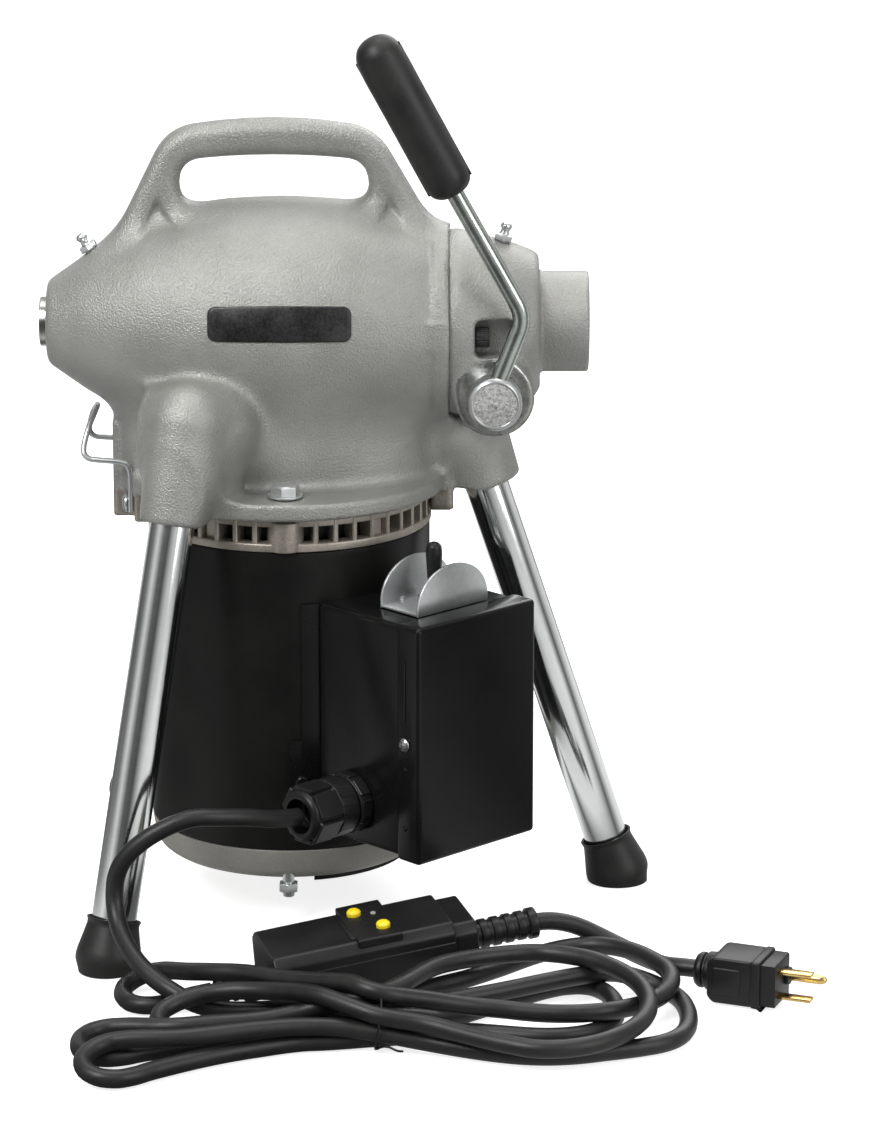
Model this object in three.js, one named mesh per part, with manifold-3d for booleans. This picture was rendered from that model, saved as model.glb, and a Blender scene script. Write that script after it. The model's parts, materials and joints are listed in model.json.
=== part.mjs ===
// Sectional drain cleaning machine: a hollow spindle in a cast gear case with a carry handle, turned by
// a vertical motor through bevel gears, on a tripod, with a clutch lever, a switch box and a tied cord.
// Millimetres, +Z up. X runs along the spindle towards the clutch end, and Z = 0 is the floor.
import * as THREE from 'three';
import { mergeVertices } from 'three/addons/utils/BufferGeometryUtils.js';
import Module from 'manifold-3d';

const wasm = await Module();
wasm.setup();

// Driving dimensions
const MOTOR_X = -29.7;           // motor axis, from the middle of the machine's footprint
const SPINDLE_Z = 298;          // spindle axis above the floor
const GAP = 0.3;                // clearance between pieces that touch
const CAN_RADIUS = 71.8;
const CAN_BOTTOM = 40.5;
const CAN_TOP = 196.2;
const FLANGE_BOTTOM = 214;
const NOSE_X = -121;            // rear end of the gear case
const SEAM_X = 81.3;            // joint between gear case and clutch housing
const COLLAR_X = 151.9;         // front end of the clutch housing
const COLLAR_RADIUS = 25.4;
const SPINDLE_RADIUS = 12.5;
const SPINDLE_BORE = 9.3;
const PINION_TEETH = 8;
const GEAR_TEETH = 34;
const MESH_RADIUS = 45;         // pitch radius of the large bevel gear
const LEVER_X = 104.2;          // clutch lever axis, parallel to Y
const LEVER_Z = 267.7;
const LEVER_Y = -51;            // plane that the lever rod lies in
const LEG_RADIUS = 11.1;
const LEG_MOUTH_Z = 213;        // where the legs leave their sockets
const LEG_MOUTH_RADIUS = 100.8;
const LEG_FEET = { right: [171.3, 0], front: [-88.3, -134.1], back: [-88.3, 134.1] };
const LEG_MOUTH_TURN = { right: 0, front: -123.4, back: 123.4 };
const BOX_TURN = 43.6;          // switch box: angle of its face from -Y towards +X, in degrees
const BOX_WIDTH = 81;
const BOX_FRONT = 138.2;        // distance of its cover from the motor axis
const BOX_BACK = 64;
const BOX_BOTTOM = 51;
const BOX_TOP = 172.6;
const THROUGH_BOLT_Y = 66;
const CORD_RADIUS = 4.45;
const CLIP_SCREW_Y = 20.5;
const CLIP_SCREW_Z = 208.9;

const finish = (color, roughness, metalness) => ({ color, roughness, metalness });
const CAST = finish(0xa6a6a0, 0.45, 0.35);
const RAW_ALUMINIUM = finish(0x9c9488, 0.5, 0.7);
const ZINC = finish(0xc4c8c4, 0.28, 0.9);
const STEEL = finish(0x9a9a98, 0.35, 0.9);
const DARK_STEEL = finish(0x5a5a5c, 0.45, 0.8);
const BLACK_PAINT = finish(0x1c1c1c, 0.3, 0.1);
const BLACK_PLASTIC = finish(0x202020, 0.45, 0);
const RUBBER = finish(0x303030, 0.75, 0);
const COPPER = finish(0xa85c32, 0.5, 0.6);
const YELLOW = finish(0xf4d812, 0.4, 0);
const BELL_GREY = finish(0x8a877c, 0.6, 0.5);

// ---------------------------------------------------------------- solids
const X = new THREE.Vector3(1, 0, 0);
const Z = new THREE.Vector3(0, 0, 1);
const UP = new THREE.Vector3(0, 1, 0);
const point = (x, y, z) => new THREE.Vector3(x, y, z);
const radians = THREE.MathUtils.degToRad;

// A closed three.js geometry as a manifold solid with outward faces.
function solid(geometry) {
  const bare = geometry.clone();
  for (const name of Object.keys(bare.attributes)) {
    if (name !== 'position') bare.deleteAttribute(name);
  }
  const merged = mergeVertices(bare, 1e-4);
  const position = merged.attributes.position.array;
  const index = merged.index.array;
  const triangles = [];
  let volume = 0;
  for (let i = 0; i < index.length; i += 3) {
    const [a, b, c] = [index[i], index[i + 1], index[i + 2]];
    if (a === b || b === c || c === a) continue;
    triangles.push(a, b, c);
    const [p, q, r] = [a, b, c].map((k) => point().fromArray(position, 3 * k));
    volume += p.dot(q.cross(r));
  }
  if (volume < 0) {
    for (let i = 0; i < triangles.length; i += 3) {
      [triangles[i], triangles[i + 1]] = [triangles[i + 1], triangles[i]];
    }
  }
  return new wasm.Manifold(new wasm.Mesh({
    numProp: 3,
    vertProperties: new Float32Array(position),
    triVerts: new Uint32Array(triangles),
  }));
}

function geometryOf(manifold) {
  const mesh = manifold.getMesh();
  const geometry = new THREE.BufferGeometry();
  geometry.setAttribute('position', new THREE.BufferAttribute(mesh.vertProperties, 3));
  geometry.setIndex(new THREE.BufferAttribute(mesh.triVerts, 1));
  geometry.computeVertexNormals();
  return geometry;
}

const join = (first, ...others) => others.reduce((sum, piece) => sum.add(piece), first);
const cut = (first, ...others) => others.reduce((rest, piece) => rest.subtract(piece), first);

// A profile of [along, radius] points turned about the line from origin in the direction axis.
function turned(profile, axis = Z, origin = point(0, 0, 0), sides = 20) {
  const geometry = new THREE.LatheGeometry(profile.map(([h, r]) => new THREE.Vector2(r, h)), sides);
  geometry.applyQuaternion(new THREE.Quaternion().setFromUnitVectors(UP, axis));
  geometry.translate(origin.x, origin.y, origin.z);
  return solid(geometry);
}

// A rod or a tapered rod between two points.
function rod(from, to, radius, endRadius = radius, sides = 16) {
  const axis = to.clone().sub(from);
  const length = axis.length();
  const profile = [[0, 0], [0, radius], [length, endRadius], [length, 0]];
  return turned(profile, axis.normalize(), from, sides);
}

// A ring with a rectangular section.
function ring(axis, origin, from, to, inner, outer, sides = 20) {
  return turned([[from, inner], [to, inner], [to, outer], [from, outer], [from, inner]], axis, origin, sides);
}

function block(x0, x1, y0, y1, z0, z1) {
  const geometry = new THREE.BoxGeometry(x1 - x0, y1 - y0, z1 - z0);
  geometry.translate((x0 + x1) / 2, (y0 + y1) / 2, (z0 + z1) / 2);
  return solid(geometry);
}

// An outline in X and Z pushed through a thickness centred on y.
function plateXZ(shape, thickness, y = 0, bevel = 0) {
  const geometry = new THREE.ExtrudeGeometry(shape, {
    depth: thickness - 2 * bevel,
    bevelEnabled: bevel > 0,
    bevelThickness: bevel,
    bevelSize: bevel,
    bevelOffset: -bevel,
    bevelSegments: 1,
    curveSegments: 5,
  });
  geometry.translate(0, 0, -(thickness - 2 * bevel) / 2);
  geometry.rotateX(Math.PI / 2);
  geometry.translate(0, y, 0);
  return solid(geometry);
}

// An outline in X and Y pushed up from z0 to z1.
function plateXY(shape, z0, z1) {
  const geometry = new THREE.ExtrudeGeometry(shape, { depth: z1 - z0, bevelEnabled: false, curveSegments: 8 });
  geometry.translate(0, 0, z0);
  return solid(geometry);
}

function smoothTube(points, radius, sides, steps) {
  const curve = new THREE.CatmullRomCurve3(points, false, 'centripetal');
  const section = new THREE.Shape();
  for (let k = 0; k < sides; k += 1) {
    const turn = (2 * Math.PI * k) / sides;
    const corner = [radius * Math.cos(turn), radius * Math.sin(turn)];
    if (k === 0) section.moveTo(...corner);
    else section.lineTo(...corner);
  }
  return solid(new THREE.ExtrudeGeometry(section, { steps, extrudePath: curve, bevelEnabled: false }));
}

// ---------------------------------------------------------------- scene graph
const machine = new THREE.Group();
machine.position.x = MOTOR_X;
const switchGroup = new THREE.Group();
switchGroup.rotation.z = radians(BOX_TURN);
machine.add(switchGroup);

function piece(name, shape, look, parent = machine) {
  const material = new THREE.MeshStandardMaterial(look);
  const mesh = new THREE.Mesh(geometryOf(shape), material);
  mesh.name = name;
  parent.add(mesh);
  return mesh;
}

const spindleLine = point(0, 0, SPINDLE_Z);
const aboutSpindle = (profile, sides) => turned(profile, X, spindleLine, sides);
const aboutMotor = (profile, sides) => turned(profile, Z, point(0, 0, 0), sides);

// Each leg runs from its socket mouth under the gear case down to its foot.
function legLine(side) {
  const turn = radians(LEG_MOUTH_TURN[side]);
  const mouth = point(LEG_MOUTH_RADIUS * Math.cos(turn), LEG_MOUTH_RADIUS * Math.sin(turn), LEG_MOUTH_Z);
  const floor = point(LEG_FEET[side][0], LEG_FEET[side][1], 0);
  const up = mouth.clone().sub(floor).normalize();
  return { up, at: (z) => floor.clone().addScaledVector(up, z / up.z) };
}
const SIDES = Object.keys(LEG_FEET);

// ---------------------------------------------------------------- gear case
// Wall between the drum and each leg socket, as distance from the motor axis and height.
const BOSS_WEB = [[40, 214.5], [98, 214.5], [96, 238], [80, 262], [40, 285]];

function gearCase() {
  const barrel = aboutSpindle([
    [NOSE_X, 0], [NOSE_X, 20.5], [-99.5, 35.5], [-88, 41], [-72, 47.5], [-52, 54], [-28, 58.8], [0, 60.5],
    [28, 58.8], [50, 55], [68, 49.5], [75, 46.5], [SEAM_X, 46.5], [SEAM_X, 0],
  ], 32);
  const drumOutline = new THREE.Shape();
  drumOutline.absellipse(-5, 0, 82.5, 50, 0, 2 * Math.PI, false);
  const drum = plateXY(drumOutline, FLANGE_BOTTOM, 292);
  const flange = aboutMotor([[FLANGE_BOTTOM, 0], [FLANGE_BOTTOM, 80], [222.5, 79], [226, 60], [226, 0]], 32);
  const ears = [-1, 1].map((s) => rod(point(0, s * 67, FLANGE_BOTTOM), point(0, s * 67, 223.5), 17));
  const lugs = [
    block(-88.5, -72, -14, 14, 200, 250),
    block(-77.4, -64, -27, 27, 200, 226),
    block(69, 83.8, -14, 14, 202.5, 226),
    ...[-1, 1].map((s) => block(66, SEAM_X, Math.min(s * 30, s * 48.5), Math.max(s * 30, s * 48.5), 290, 305)),
  ];
  const bosses = SIDES.map((side) => {
    const line = legLine(side);
    const top = side === 'right' ? 238 : 262;
    const shaft = rod(line.at(LEG_MOUTH_Z + 1), line.at(top), 16.3, 19.5, 12);
    const dome = new THREE.SphereGeometry(19.5, 12, 6);
    const centre = line.at(top);
    dome.translate(centre.x, centre.y, centre.z);
    const webOutline = new THREE.Shape(BOSS_WEB.map(([r, z]) => new THREE.Vector2(r, z)));
    return join(shaft, solid(dome), plateXZ(webOutline, 27).rotate([0, 0, LEG_MOUTH_TURN[side]]));
  });
  const handle = new THREE.Shape();
  handle.moveTo(-93, 330);
  handle.lineTo(-66, 384);
  handle.quadraticCurveTo(-60, 396, -47, 398.6);
  handle.quadraticCurveTo(-5, 405, 33, 398.6);
  handle.quadraticCurveTo(46, 396, 53, 383);
  handle.lineTo(78, 340);
  handle.lineTo(60, 310);
  handle.lineTo(-70, 310);
  const web = plateXZ(handle, 19, 0, 5);
  const hole = new THREE.Shape();
  hole.moveTo(-41, 357);
  hole.quadraticCurveTo(-6, 360.5, 29, 357);
  hole.quadraticCurveTo(41.3, 357.5, 41.3, 369);
  hole.quadraticCurveTo(41, 381.5, 29, 382.2);
  hole.quadraticCurveTo(-6, 385.5, -41, 382.2);
  hole.quadraticCurveTo(-53.4, 381.5, -53.6, 369);
  hole.quadraticCurveTo(-53.5, 357.5, -41, 357);
  const bellClearance = rod(point(0, 0, 190), point(0, 0, FLANGE_BOTTOM), 73, undefined, 32);
  const body = join(barrel, drum, flange, ...ears, ...lugs, ...bosses, web);

  const cavity = aboutSpindle([
    [NOSE_X - 1, 0], [NOSE_X - 1, 13.1], [-110.4, 13.1], [-110.4, 19.3], [-97, 19.3], [-84, 29],
    [-55, 43], [-20, 51], [30, 51], [58, 44], [64, 31.6], [SEAM_X + 1, 31.6], [SEAM_X + 1, 0],
  ], 20);
  const wellOutline = new THREE.Shape();
  wellOutline.absellipse(0, 0, 60, 38, 0, 2 * Math.PI, false);
  const well = plateXY(wellOutline, 226, 290);
  const motorOpening = rod(point(0, 0, FLANGE_BOTTOM - 1), point(0, 0, 240), 24);
  const sockets = SIDES.map((side) => {
    const line = legLine(side);
    return rod(line.at(LEG_MOUTH_Z - 8), line.at(side === 'right' ? 241 : 260), LEG_RADIUS + GAP, undefined, 14);
  });
  const boltHoles = [-1, 1].flatMap((s) => [
    rod(point(0, s * THROUGH_BOLT_Y, 210), point(0, s * THROUGH_BOLT_Y, 230), 3.4, undefined, 10),
    rod(point(0, s * THROUGH_BOLT_Y, 223.7), point(0, s * THROUGH_BOLT_Y, 236), 10, undefined, 16),
    rod(point(66, s * 37, SPINDLE_Z), point(SEAM_X + 1, s * 37, SPINDLE_Z), 3.3, undefined, 10),
  ]);
  const fitting = rod(point(-96, 0, 330.5), point(-102, 0, 339.4), 3.3, undefined, 10);
  const clipHoles = [-1, 1].map((s) => rod(point(-95, s * CLIP_SCREW_Y, CLIP_SCREW_Z),
    point(-69, s * CLIP_SCREW_Y, CLIP_SCREW_Z), 2.3, undefined, 8));
  const housingClearance = rod(point(SEAM_X, 0, SPINDLE_Z), point(140, 0, SPINDLE_Z), 48.2, undefined, 32);
  const leverClearance = rod(point(LEVER_X, -70, LEVER_Z), point(LEVER_X, 45, LEVER_Z), 20.3);
  return cut(body, plateXZ(hole, 60), cavity, well, motorOpening, ...sockets, ...boltHoles, fitting, ...clipHoles,
    housingClearance, leverClearance, bellClearance);
}

// ---------------------------------------------------------------- clutch housing
function clutchHousing() {
  const shell = aboutSpindle([
    [70, 0], [70, 31.2], [SEAM_X + GAP, 31.2], [SEAM_X + GAP, 46.5], [87, 46.8], [105, 42.2], [115, 39.3],
    [124.5, 35.5], [126.7, 33], [127, COLLAR_RADIUS], [COLLAR_X, COLLAR_RADIUS], [COLLAR_X, 0],
  ], 32);
  const leverBoss = rod(point(LEVER_X, -42, LEVER_Z), point(LEVER_X, -5, LEVER_Z), 19.8, undefined, 20);
  const backBoss = rod(point(LEVER_X, 5, LEVER_Z), point(LEVER_X, 37, LEVER_Z), 12);
  const inside = aboutSpindle([
    [69, 0], [69, 26.3], [84.3, 26.3], [84.3, 24.5], [113.5, 24.5], [113.5, 22.5], [146, 22.5], [146, 12.5],
    [COLLAR_X + 1, 12.5], [COLLAR_X + 1, 0],
  ], 20);
  const leverBore = rod(point(LEVER_X, -43, LEVER_Z), point(LEVER_X, 32, LEVER_Z), 6.3);
  const fingerRoom = block(93, 115, -6, 6, 262, 284);
  const pockets = [-1, 1].flatMap((s) => {
    const [near, far] = [s * 31, s * 55].sort((a, b) => a - b);
    return [
      block(94.2, 113.4, near, far, SPINDLE_Z - 9.5, SPINDLE_Z + 9.5),
      rod(point(80, s * 37, SPINDLE_Z), point(95, s * 37, SPINDLE_Z), 3.3, undefined, 10),
    ];
  });
  const fitting = rod(point(107, 0, 333), point(110, 0, 346), 3.3, undefined, 10);
  return cut(join(shell, leverBoss, backBoss), inside, leverBore, fingerRoom, ...pockets, fitting);
}

// ---------------------------------------------------------------- spindle, gears and clutch
const JAW_TURNS = [0, 120, 240];
const aboutX = (shape, turn) => shape.rotate([turn, 0, 0]);
const JAW_BACK = 128;
const JAW_FRONT = 137;

// Three jaws lie in radial slots of the spindle's front end. Built on top of the spindle, then turned round it.
function jawBlank(width, bottom, backTop, frontTop, from, to) {
  const side = new THREE.Shape();
  side.moveTo(from, bottom);
  side.lineTo(to, bottom);
  side.lineTo(to, frontTop);
  side.lineTo(from, backTop);
  return plateXZ(side, width);
}

function spindle() {
  const tube = turned([
    [NOSE_X - 3.7, SPINDLE_BORE], [NOSE_X - 3.7, SPINDLE_RADIUS], [127, SPINDLE_RADIUS], [130.5, 17.5],
    [138.5, 17.5], [138.5, SPINDLE_BORE], [NOSE_X - 3.7, SPINDLE_BORE],
  ], X);
  const slots = JAW_TURNS.map((turn) => aboutX(block(JAW_BACK - 0.4, 139, -4.6, 4.6, 4, 24), turn));
  return cut(tube, ...slots).translate([0, 0, SPINDLE_Z]);
}

function jaw(turn) {
  const blank = jawBlank(8.4, 10.2, 16.4, 19.2, JAW_BACK, JAW_FRONT);
  return aboutX(blank, turn).translate([0, 0, SPINDLE_Z]);
}

const MESH_SLOPE = PINION_TEETH / GEAR_TEETH;
const TOOTH_FACE_INNER = 33;

// Rings of points joined in order into a closed skin, capped at its ends or joined back to the first ring.
function skin(rings, closed) {
  const count = rings[0].length;
  const positions = rings.flat().flatMap((p) => [p.x, p.y, p.z]);
  const index = [];
  const last = closed ? rings.length : rings.length - 1;
  for (let i = 0; i < last; i += 1) {
    const next = (i + 1) % rings.length;
    for (let k = 0; k < count; k += 1) {
      const [a, b] = [i * count + k, i * count + ((k + 1) % count)];
      const [c, d] = [next * count + k, next * count + ((k + 1) % count)];
      index.push(a, c, b, b, c, d);
    }
  }
  if (!closed) {
    for (const [ringNumber, flip] of [[0, false], [rings.length - 1, true]]) {
      const centre = rings[ringNumber].reduce((sum, p) => sum.add(p), point(0, 0, 0)).divideScalar(count);
      const middle = positions.length / 3;
      positions.push(centre.x, centre.y, centre.z);
      for (let k = 0; k < count; k += 1) {
        const [a, b] = [ringNumber * count + k, ringNumber * count + ((k + 1) % count)];
        index.push(...(flip ? [middle, b, a] : [middle, a, b]));
      }
    }
  }
  const geometry = new THREE.BufferGeometry();
  geometry.setAttribute('position', new THREE.Float32BufferAttribute(positions, 3));
  geometry.setIndex(index);
  return solid(geometry);
}

// The large bevel gear faces -X. A gap between two of its teeth is straight below the spindle.
function spindleGear() {
  const rings = [];
  const pitch = 360 / GEAR_TEETH;
  for (let tooth = 0; tooth < GEAR_TEETH; tooth += 1) {
    for (const [offset, raise] of [[-2.4, -2], [-1, 1.4], [1, 1.4], [2.4, -2]]) {
      const turn = radians(-90 + (tooth + 0.5) * pitch + offset);
      const at = (x, r) => point(x, r * Math.cos(turn), r * Math.sin(turn));
      const face = (r) => MESH_SLOPE * r - (raise * r) / MESH_RADIUS;
      rings.push([
        at(face(TOOTH_FACE_INNER), TOOTH_FACE_INNER), at(face(MESH_RADIUS + 1.5), MESH_RADIUS + 1.5),
        at(17, MESH_RADIUS + 1.5), at(26, SPINDLE_RADIUS + GAP), at(11, SPINDLE_RADIUS + GAP),
      ]);
    }
  }
  return skin(rings, true).translate([0, 0, SPINDLE_Z]);
}

// The pinion's first tooth points to +X, into the gap of the large gear.
function bevelPinion() {
  const rim = (distance) => {
    const points = [];
    for (let tooth = 0; tooth < PINION_TEETH; tooth += 1) {
      for (const [offset, radius] of [[-13, 8.7], [-5, 12], [5, 12], [13, 8.7]]) {
        const turn = radians((tooth * 360) / PINION_TEETH + offset);
        const r = (radius * distance) / MESH_RADIUS;
        points.push(point(r * Math.cos(turn), r * Math.sin(turn), SPINDLE_Z - distance));
      }
    }
    return points;
  };
  const teeth = skin([rim(MESH_RADIUS), rim(TOOTH_FACE_INNER)], false);
  const hub = rod(point(0, 0, 240), point(0, 0, 254), 8.5);
  return cut(join(teeth, hub), rod(point(0, 0, 230), point(0, 0, 270), 5.3, undefined, 12));
}

const FINGER_REST = -22.5;
const FINGER_REACH = 10.4;
const SLEEVE_X = 95;

function leverHub() {
  const hub = turned([[0, 0], [0, 12.2], [1.3, 13.4], [14.4, 13.4], [14.4, 6], [89, 6], [89, 0]],
    point(0, 1, 0), point(LEVER_X, -57, LEVER_Z), 20);
  const finger = block(-2.4, 2.4, -4.5, 4.5, 0, FINGER_REACH).rotate([0, FINGER_REST, 0])
    .translate([LEVER_X, 0, LEVER_Z]);
  return cut(join(hub, finger), leverRodShape(3.9 + GAP));
}

const GRIP_START = point(83.3, LEVER_Y, 374.7);
const GRIP_END = point(44.3, LEVER_Y, 446.5);
function leverRodShape(radius) {
  const upper = GRIP_START.clone().lerp(GRIP_END, 0.6);
  const bend = point(118.6, LEVER_Y, 311.5);
  const bendIn = bend.clone().lerp(point(106, LEVER_Y, 279), 0.22);
  const bendOut = bend.clone().lerp(GRIP_START, 0.1);
  const path = new THREE.CurvePath();
  path.add(new THREE.LineCurve3(point(106, LEVER_Y, 279), bendIn));
  path.add(new THREE.QuadraticBezierCurve3(bendIn, bend, bendOut));
  path.add(new THREE.LineCurve3(bendOut, upper));
  return smoothTube([
    point(105.4, LEVER_Y, 277.5), point(110, LEVER_Y, 289), bendIn, path.curves[1].getPoint(0.5), bendOut,
    bend.clone().lerp(GRIP_START, 0.5), GRIP_START, upper,
  ], radius, 8, 14);
}

function leverGrip() {
  const axis = GRIP_END.clone().sub(GRIP_START);
  const length = axis.length();
  const profile = [
    [-2, 0], [-2, 5.5], [-0.5, 9], [3, 11.6], [length * 0.5, 12], [length - 8, 12.2], [length - 2, 10.6],
    [length + 2.5, 6.5], [length + 4, 0],
  ];
  const body = turned(profile, axis.normalize(), GRIP_START, 20);
  return cut(body, leverRodShape(3.9 + GAP));
}

// The sleeve slides on the spindle without turning, and pushes the cone, which turns with the spindle.
function thrustSleeve() {
  const body = aboutSpindle([
    [SLEEVE_X, SPINDLE_RADIUS + 0.5], [SLEEVE_X + 11.5, SPINDLE_RADIUS + 0.5], [SLEEVE_X + 11.5, 23.2],
    [SLEEVE_X, 23.2], [SLEEVE_X, SPINDLE_RADIUS + 0.5],
  ]);
  const fingerX = LEVER_X + 9 * Math.sin(radians(FINGER_REST));
  return cut(body, block(fingerX - 3.6, fingerX + 3.6, -5.4, 5.4, 270, 280.5));
}

function clutchCone() {
  return aboutSpindle([
    [107, SPINDLE_RADIUS + 0.5], [107, 20], [111, 21.6], [124, 21.6], [124, 18.6], [117, 15],
    [113, SPINDLE_RADIUS + 0.5], [107, SPINDLE_RADIUS + 0.5],
  ]);
}

const GREASE_FITTING = [
  [-4.5, 0], [-4.5, 2.9], [0.3, 2.9], [0.3, 4.6], [3, 4.6], [3.4, 2.6], [6, 1.9], [7.2, 3], [9, 2.4], [9.6, 0],
];

// ---------------------------------------------------------------- motor
function upperEndBell() {
  const rim = aboutMotor([
    [CAN_TOP + GAP, 64], [CAN_TOP + GAP, 72.4], [213.7, 72.4], [213.7, 0], [209.5, 0], [209.5, 64], [CAN_TOP + GAP, 64],
  ], 32);
  const hub = rod(point(0, 0, 199), point(0, 0, 212), 23);
  const bosses = [-1, 1].map((s) => rod(point(0, s * THROUGH_BOLT_Y, CAN_TOP + GAP), point(0, s * THROUGH_BOLT_Y, 212), 9,
    undefined, 12));
  const windows = [];
  const count = 16;
  for (let i = 0; i < count; i += 1) {
    const turn = (i + 0.5) * (360 / count);
    windows.push(block(56, 80, -8.5, 8.5, 200.5, 209.2).rotate([0, 0, turn]));
  }
  const body = join(cut(rim, ...windows), hub, ...bosses);
  return cut(body,
    rod(point(0, 0, 198), point(0, 0, 208), 20.3),
    rod(point(0, 0, 195), point(0, 0, 220), 9),
    ...[-1, 1].map((s) => rod(point(0, s * THROUGH_BOLT_Y, 190), point(0, s * THROUGH_BOLT_Y, 220), 3.4,
      undefined, 10)));
}

function lowerEndBell() {
  const body = aboutMotor([
    [23, 0], [23, 64], [27, 69.3], [CAN_BOTTOM - GAP, CAN_RADIUS], [CAN_BOTTOM - GAP, 66], [28, 62],
    [28, 24], [40, 23], [40, 0],
  ], 32);
  const bosses = [-1, 1].map((s) => rod(point(0, s * 63, 19.8), point(0, s * 63, 30), 8, undefined, 12));
  return cut(join(body, ...bosses),
    rod(point(0, 0, 30.5), point(0, 0, 45), 17.3),
    rod(point(0, 0, 20), point(0, 0, 45), 9),
    ...[-1, 1].map((s) => rod(point(0, s * THROUGH_BOLT_Y, 15), point(0, s * THROUGH_BOLT_Y, 45), 3.4,
      undefined, 10)));
}

function stator() {
  const core = ring(Z, point(0, 0, 0), 72, 152, 36, CAN_RADIUS - 2.3 - GAP);
  const windings = ring(Z, point(0, 0, 0), 60, 165, 42, 58);
  const notches = [-1, 1].map((s) => rod(point(0, s * THROUGH_BOLT_Y, 60), point(0, s * THROUGH_BOLT_Y, 170), 4,
    undefined, 8));
  return cut(join(core, windings), ...notches);
}

function motorShaft() {
  return aboutMotor([
    [26, 0], [26, 7.6], [200, 7.6], [236, 7.2], [238, 5], [262, 5], [262, 0],
  ], 16);
}

function coolingFan() {
  const disc = ring(Z, point(0, 0, 0), 172, 175, 8, 56);
  const blades = [];
  const count = 6;
  for (let i = 0; i < count; i += 1) {
    blades.push(block(20, 55, -1, 1, 174, 188).rotate([0, 0, (i * 360) / count]));
  }
  const hub = ring(Z, point(0, 0, 0), 172, 188, 8, 14, 16);
  return join(disc, hub, ...blades);
}

function throughBolt(side) {
  const y = side * THROUGH_BOLT_Y;
  const head = rod(point(0, y, 224), point(0, y, 229.3), 7.5, undefined, 6);
  const shank = rod(point(0, y, 14.3), point(0, y, 225), 3, undefined, 8);
  return join(head, shank);
}

// ---------------------------------------------------------------- legs and feet
function leg(side) {
  const line = legLine(side);
  const foot = line.at(9);
  const top = line.at(side === 'right' ? 240 : 259);
  const length = top.distanceTo(foot);
  return ring(line.up, foot, 0, length, LEG_RADIUS - 1.6, LEG_RADIUS, 20);
}

function foot(side) {
  const line = legLine(side);
  const profile = [
    [1.5, 0], [2, 9], [4.5, 14.2], [8, 16], [13, 15.6], [20, 13.8], [28.5, 12.7], [31, 13.4],
    [31, LEG_RADIUS + GAP], [8.6, LEG_RADIUS + GAP], [8.6, 0],
  ];
  const rubber = turned(profile, line.up, line.at(0), 20);
  const ground = line.at(0);
  return cut(rubber, block(ground.x - 30, ground.x + 30, ground.y - 30, ground.y + 30, -30, 0));
}

// ---------------------------------------------------------------- hose clip
const CLIP_WIRE = [
  [-79.2, -24.5, 205], [-79.2, -24.5, 222], [-80.4, -24.5, 229.3], [-87, -24.4, 231.2], [-98, -24, 232.2],
  [-102, -23.2, 233.8], [-102.6, -21.5, 237.5], [-100.4, -16, 246.5], [-97.6, -7.5, 252.6],
];
function clipWire() {
  const half = CLIP_WIRE.map(([x, y, z]) => point(x, y, z));
  const other = CLIP_WIRE.map(([x, y, z]) => point(x, -y, z)).reverse();
  return smoothTube([...half, point(-97, 0, 254), ...other], 1.45, 6, 36);
}

// ---------------------------------------------------------------- switch box: u across, v out, z up
const uv = (u, v, z) => point(u, -v, z);
const boxBlock = (u0, u1, v0, v1, z0, z1) => block(u0, u1, -v1, -v0, z0, z1);
const HALF = BOX_WIDTH / 2;
const TOGGLE_V = 107;
const GLAND_V = 90;
const GLAND_Z = 74;
const GLAND_TIP = 36;
const OUTWARD = point(-1, 0, 0);

function switchBox() {
  const shell = boxBlock(-HALF + 1.2, HALF - 1.2, BOX_BACK, BOX_FRONT - 2, BOX_BOTTOM + 1.2, BOX_TOP - 1.2);
  const room = boxBlock(-HALF + 2.8, HALF - 2.8, 75, BOX_FRONT, BOX_BOTTOM + 2.8, BOX_TOP - 2.8);
  const saddle = rod(point(0, 0, 0), point(0, 0, 250), CAN_RADIUS + GAP + 0.2, undefined, 48);
  const tab = ring(Z, point(0, 0, 0), 76, 106, CAN_RADIUS + 0.5, CAN_RADIUS + 2.1, 48);
  const tabSector = new THREE.Shape([
    new THREE.Vector2(0, 0), new THREE.Vector2(-66, -64), new THREE.Vector2(-44, -84), new THREE.Vector2(-20, -74),
  ]);
  const lug = tab.intersect(plateXY(tabSector, 70, 110));
  return cut(join(cut(shell, saddle), lug), room,
    rod(uv(0, TOGGLE_V, 165), uv(0, TOGGLE_V, 180), 6.3, undefined, 20),
    rod(uv(-30, GLAND_V, GLAND_Z), uv(-50, GLAND_V, GLAND_Z), 10.4),
    rod(uv(-30, 128.5, 112), uv(-50, 128.5, 112), 2.3, undefined, 10));
}

function switchCover() {
  const outside = boxBlock(-HALF, HALF, 122, BOX_FRONT, BOX_BOTTOM, BOX_TOP);
  const inside = boxBlock(-HALF + 0.9, HALF - 0.9, 120, BOX_FRONT - 1.6, BOX_BOTTOM + 0.9, BOX_TOP - 0.9);
  return cut(outside, inside, rod(uv(-50, 128.5, 112), uv(-30, 128.5, 112), 2.3, undefined, 12));
}

function coverScrew() {
  return turned([[-6, 0], [-6, 2], [0.4, 2], [0.4, 3.4], [1.8, 2.6], [2.3, 0]], OUTWARD,
    uv(-HALF, 128.5, 112), 14);
}

function switchGuard() {
  const ear = new THREE.Shape();
  ear.moveTo(-24, 172);
  ear.lineTo(24, 172);
  ear.lineTo(24, 176);
  ear.bezierCurveTo(23, 188, 12, 195, 0, 195);
  ear.bezierCurveTo(-12, 195, -23, 188, -24, 176);
  const ears = [94, 120].map((v) => plateXZ(ear, 1.4, -v));
  const base = boxBlock(-24, 24, 93.3, 120.7, 171.9, 173.3);
  return cut(join(base, ...ears), rod(uv(0, TOGGLE_V, 165), uv(0, TOGGLE_V, 180), 6.3, undefined, 20));
}

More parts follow.
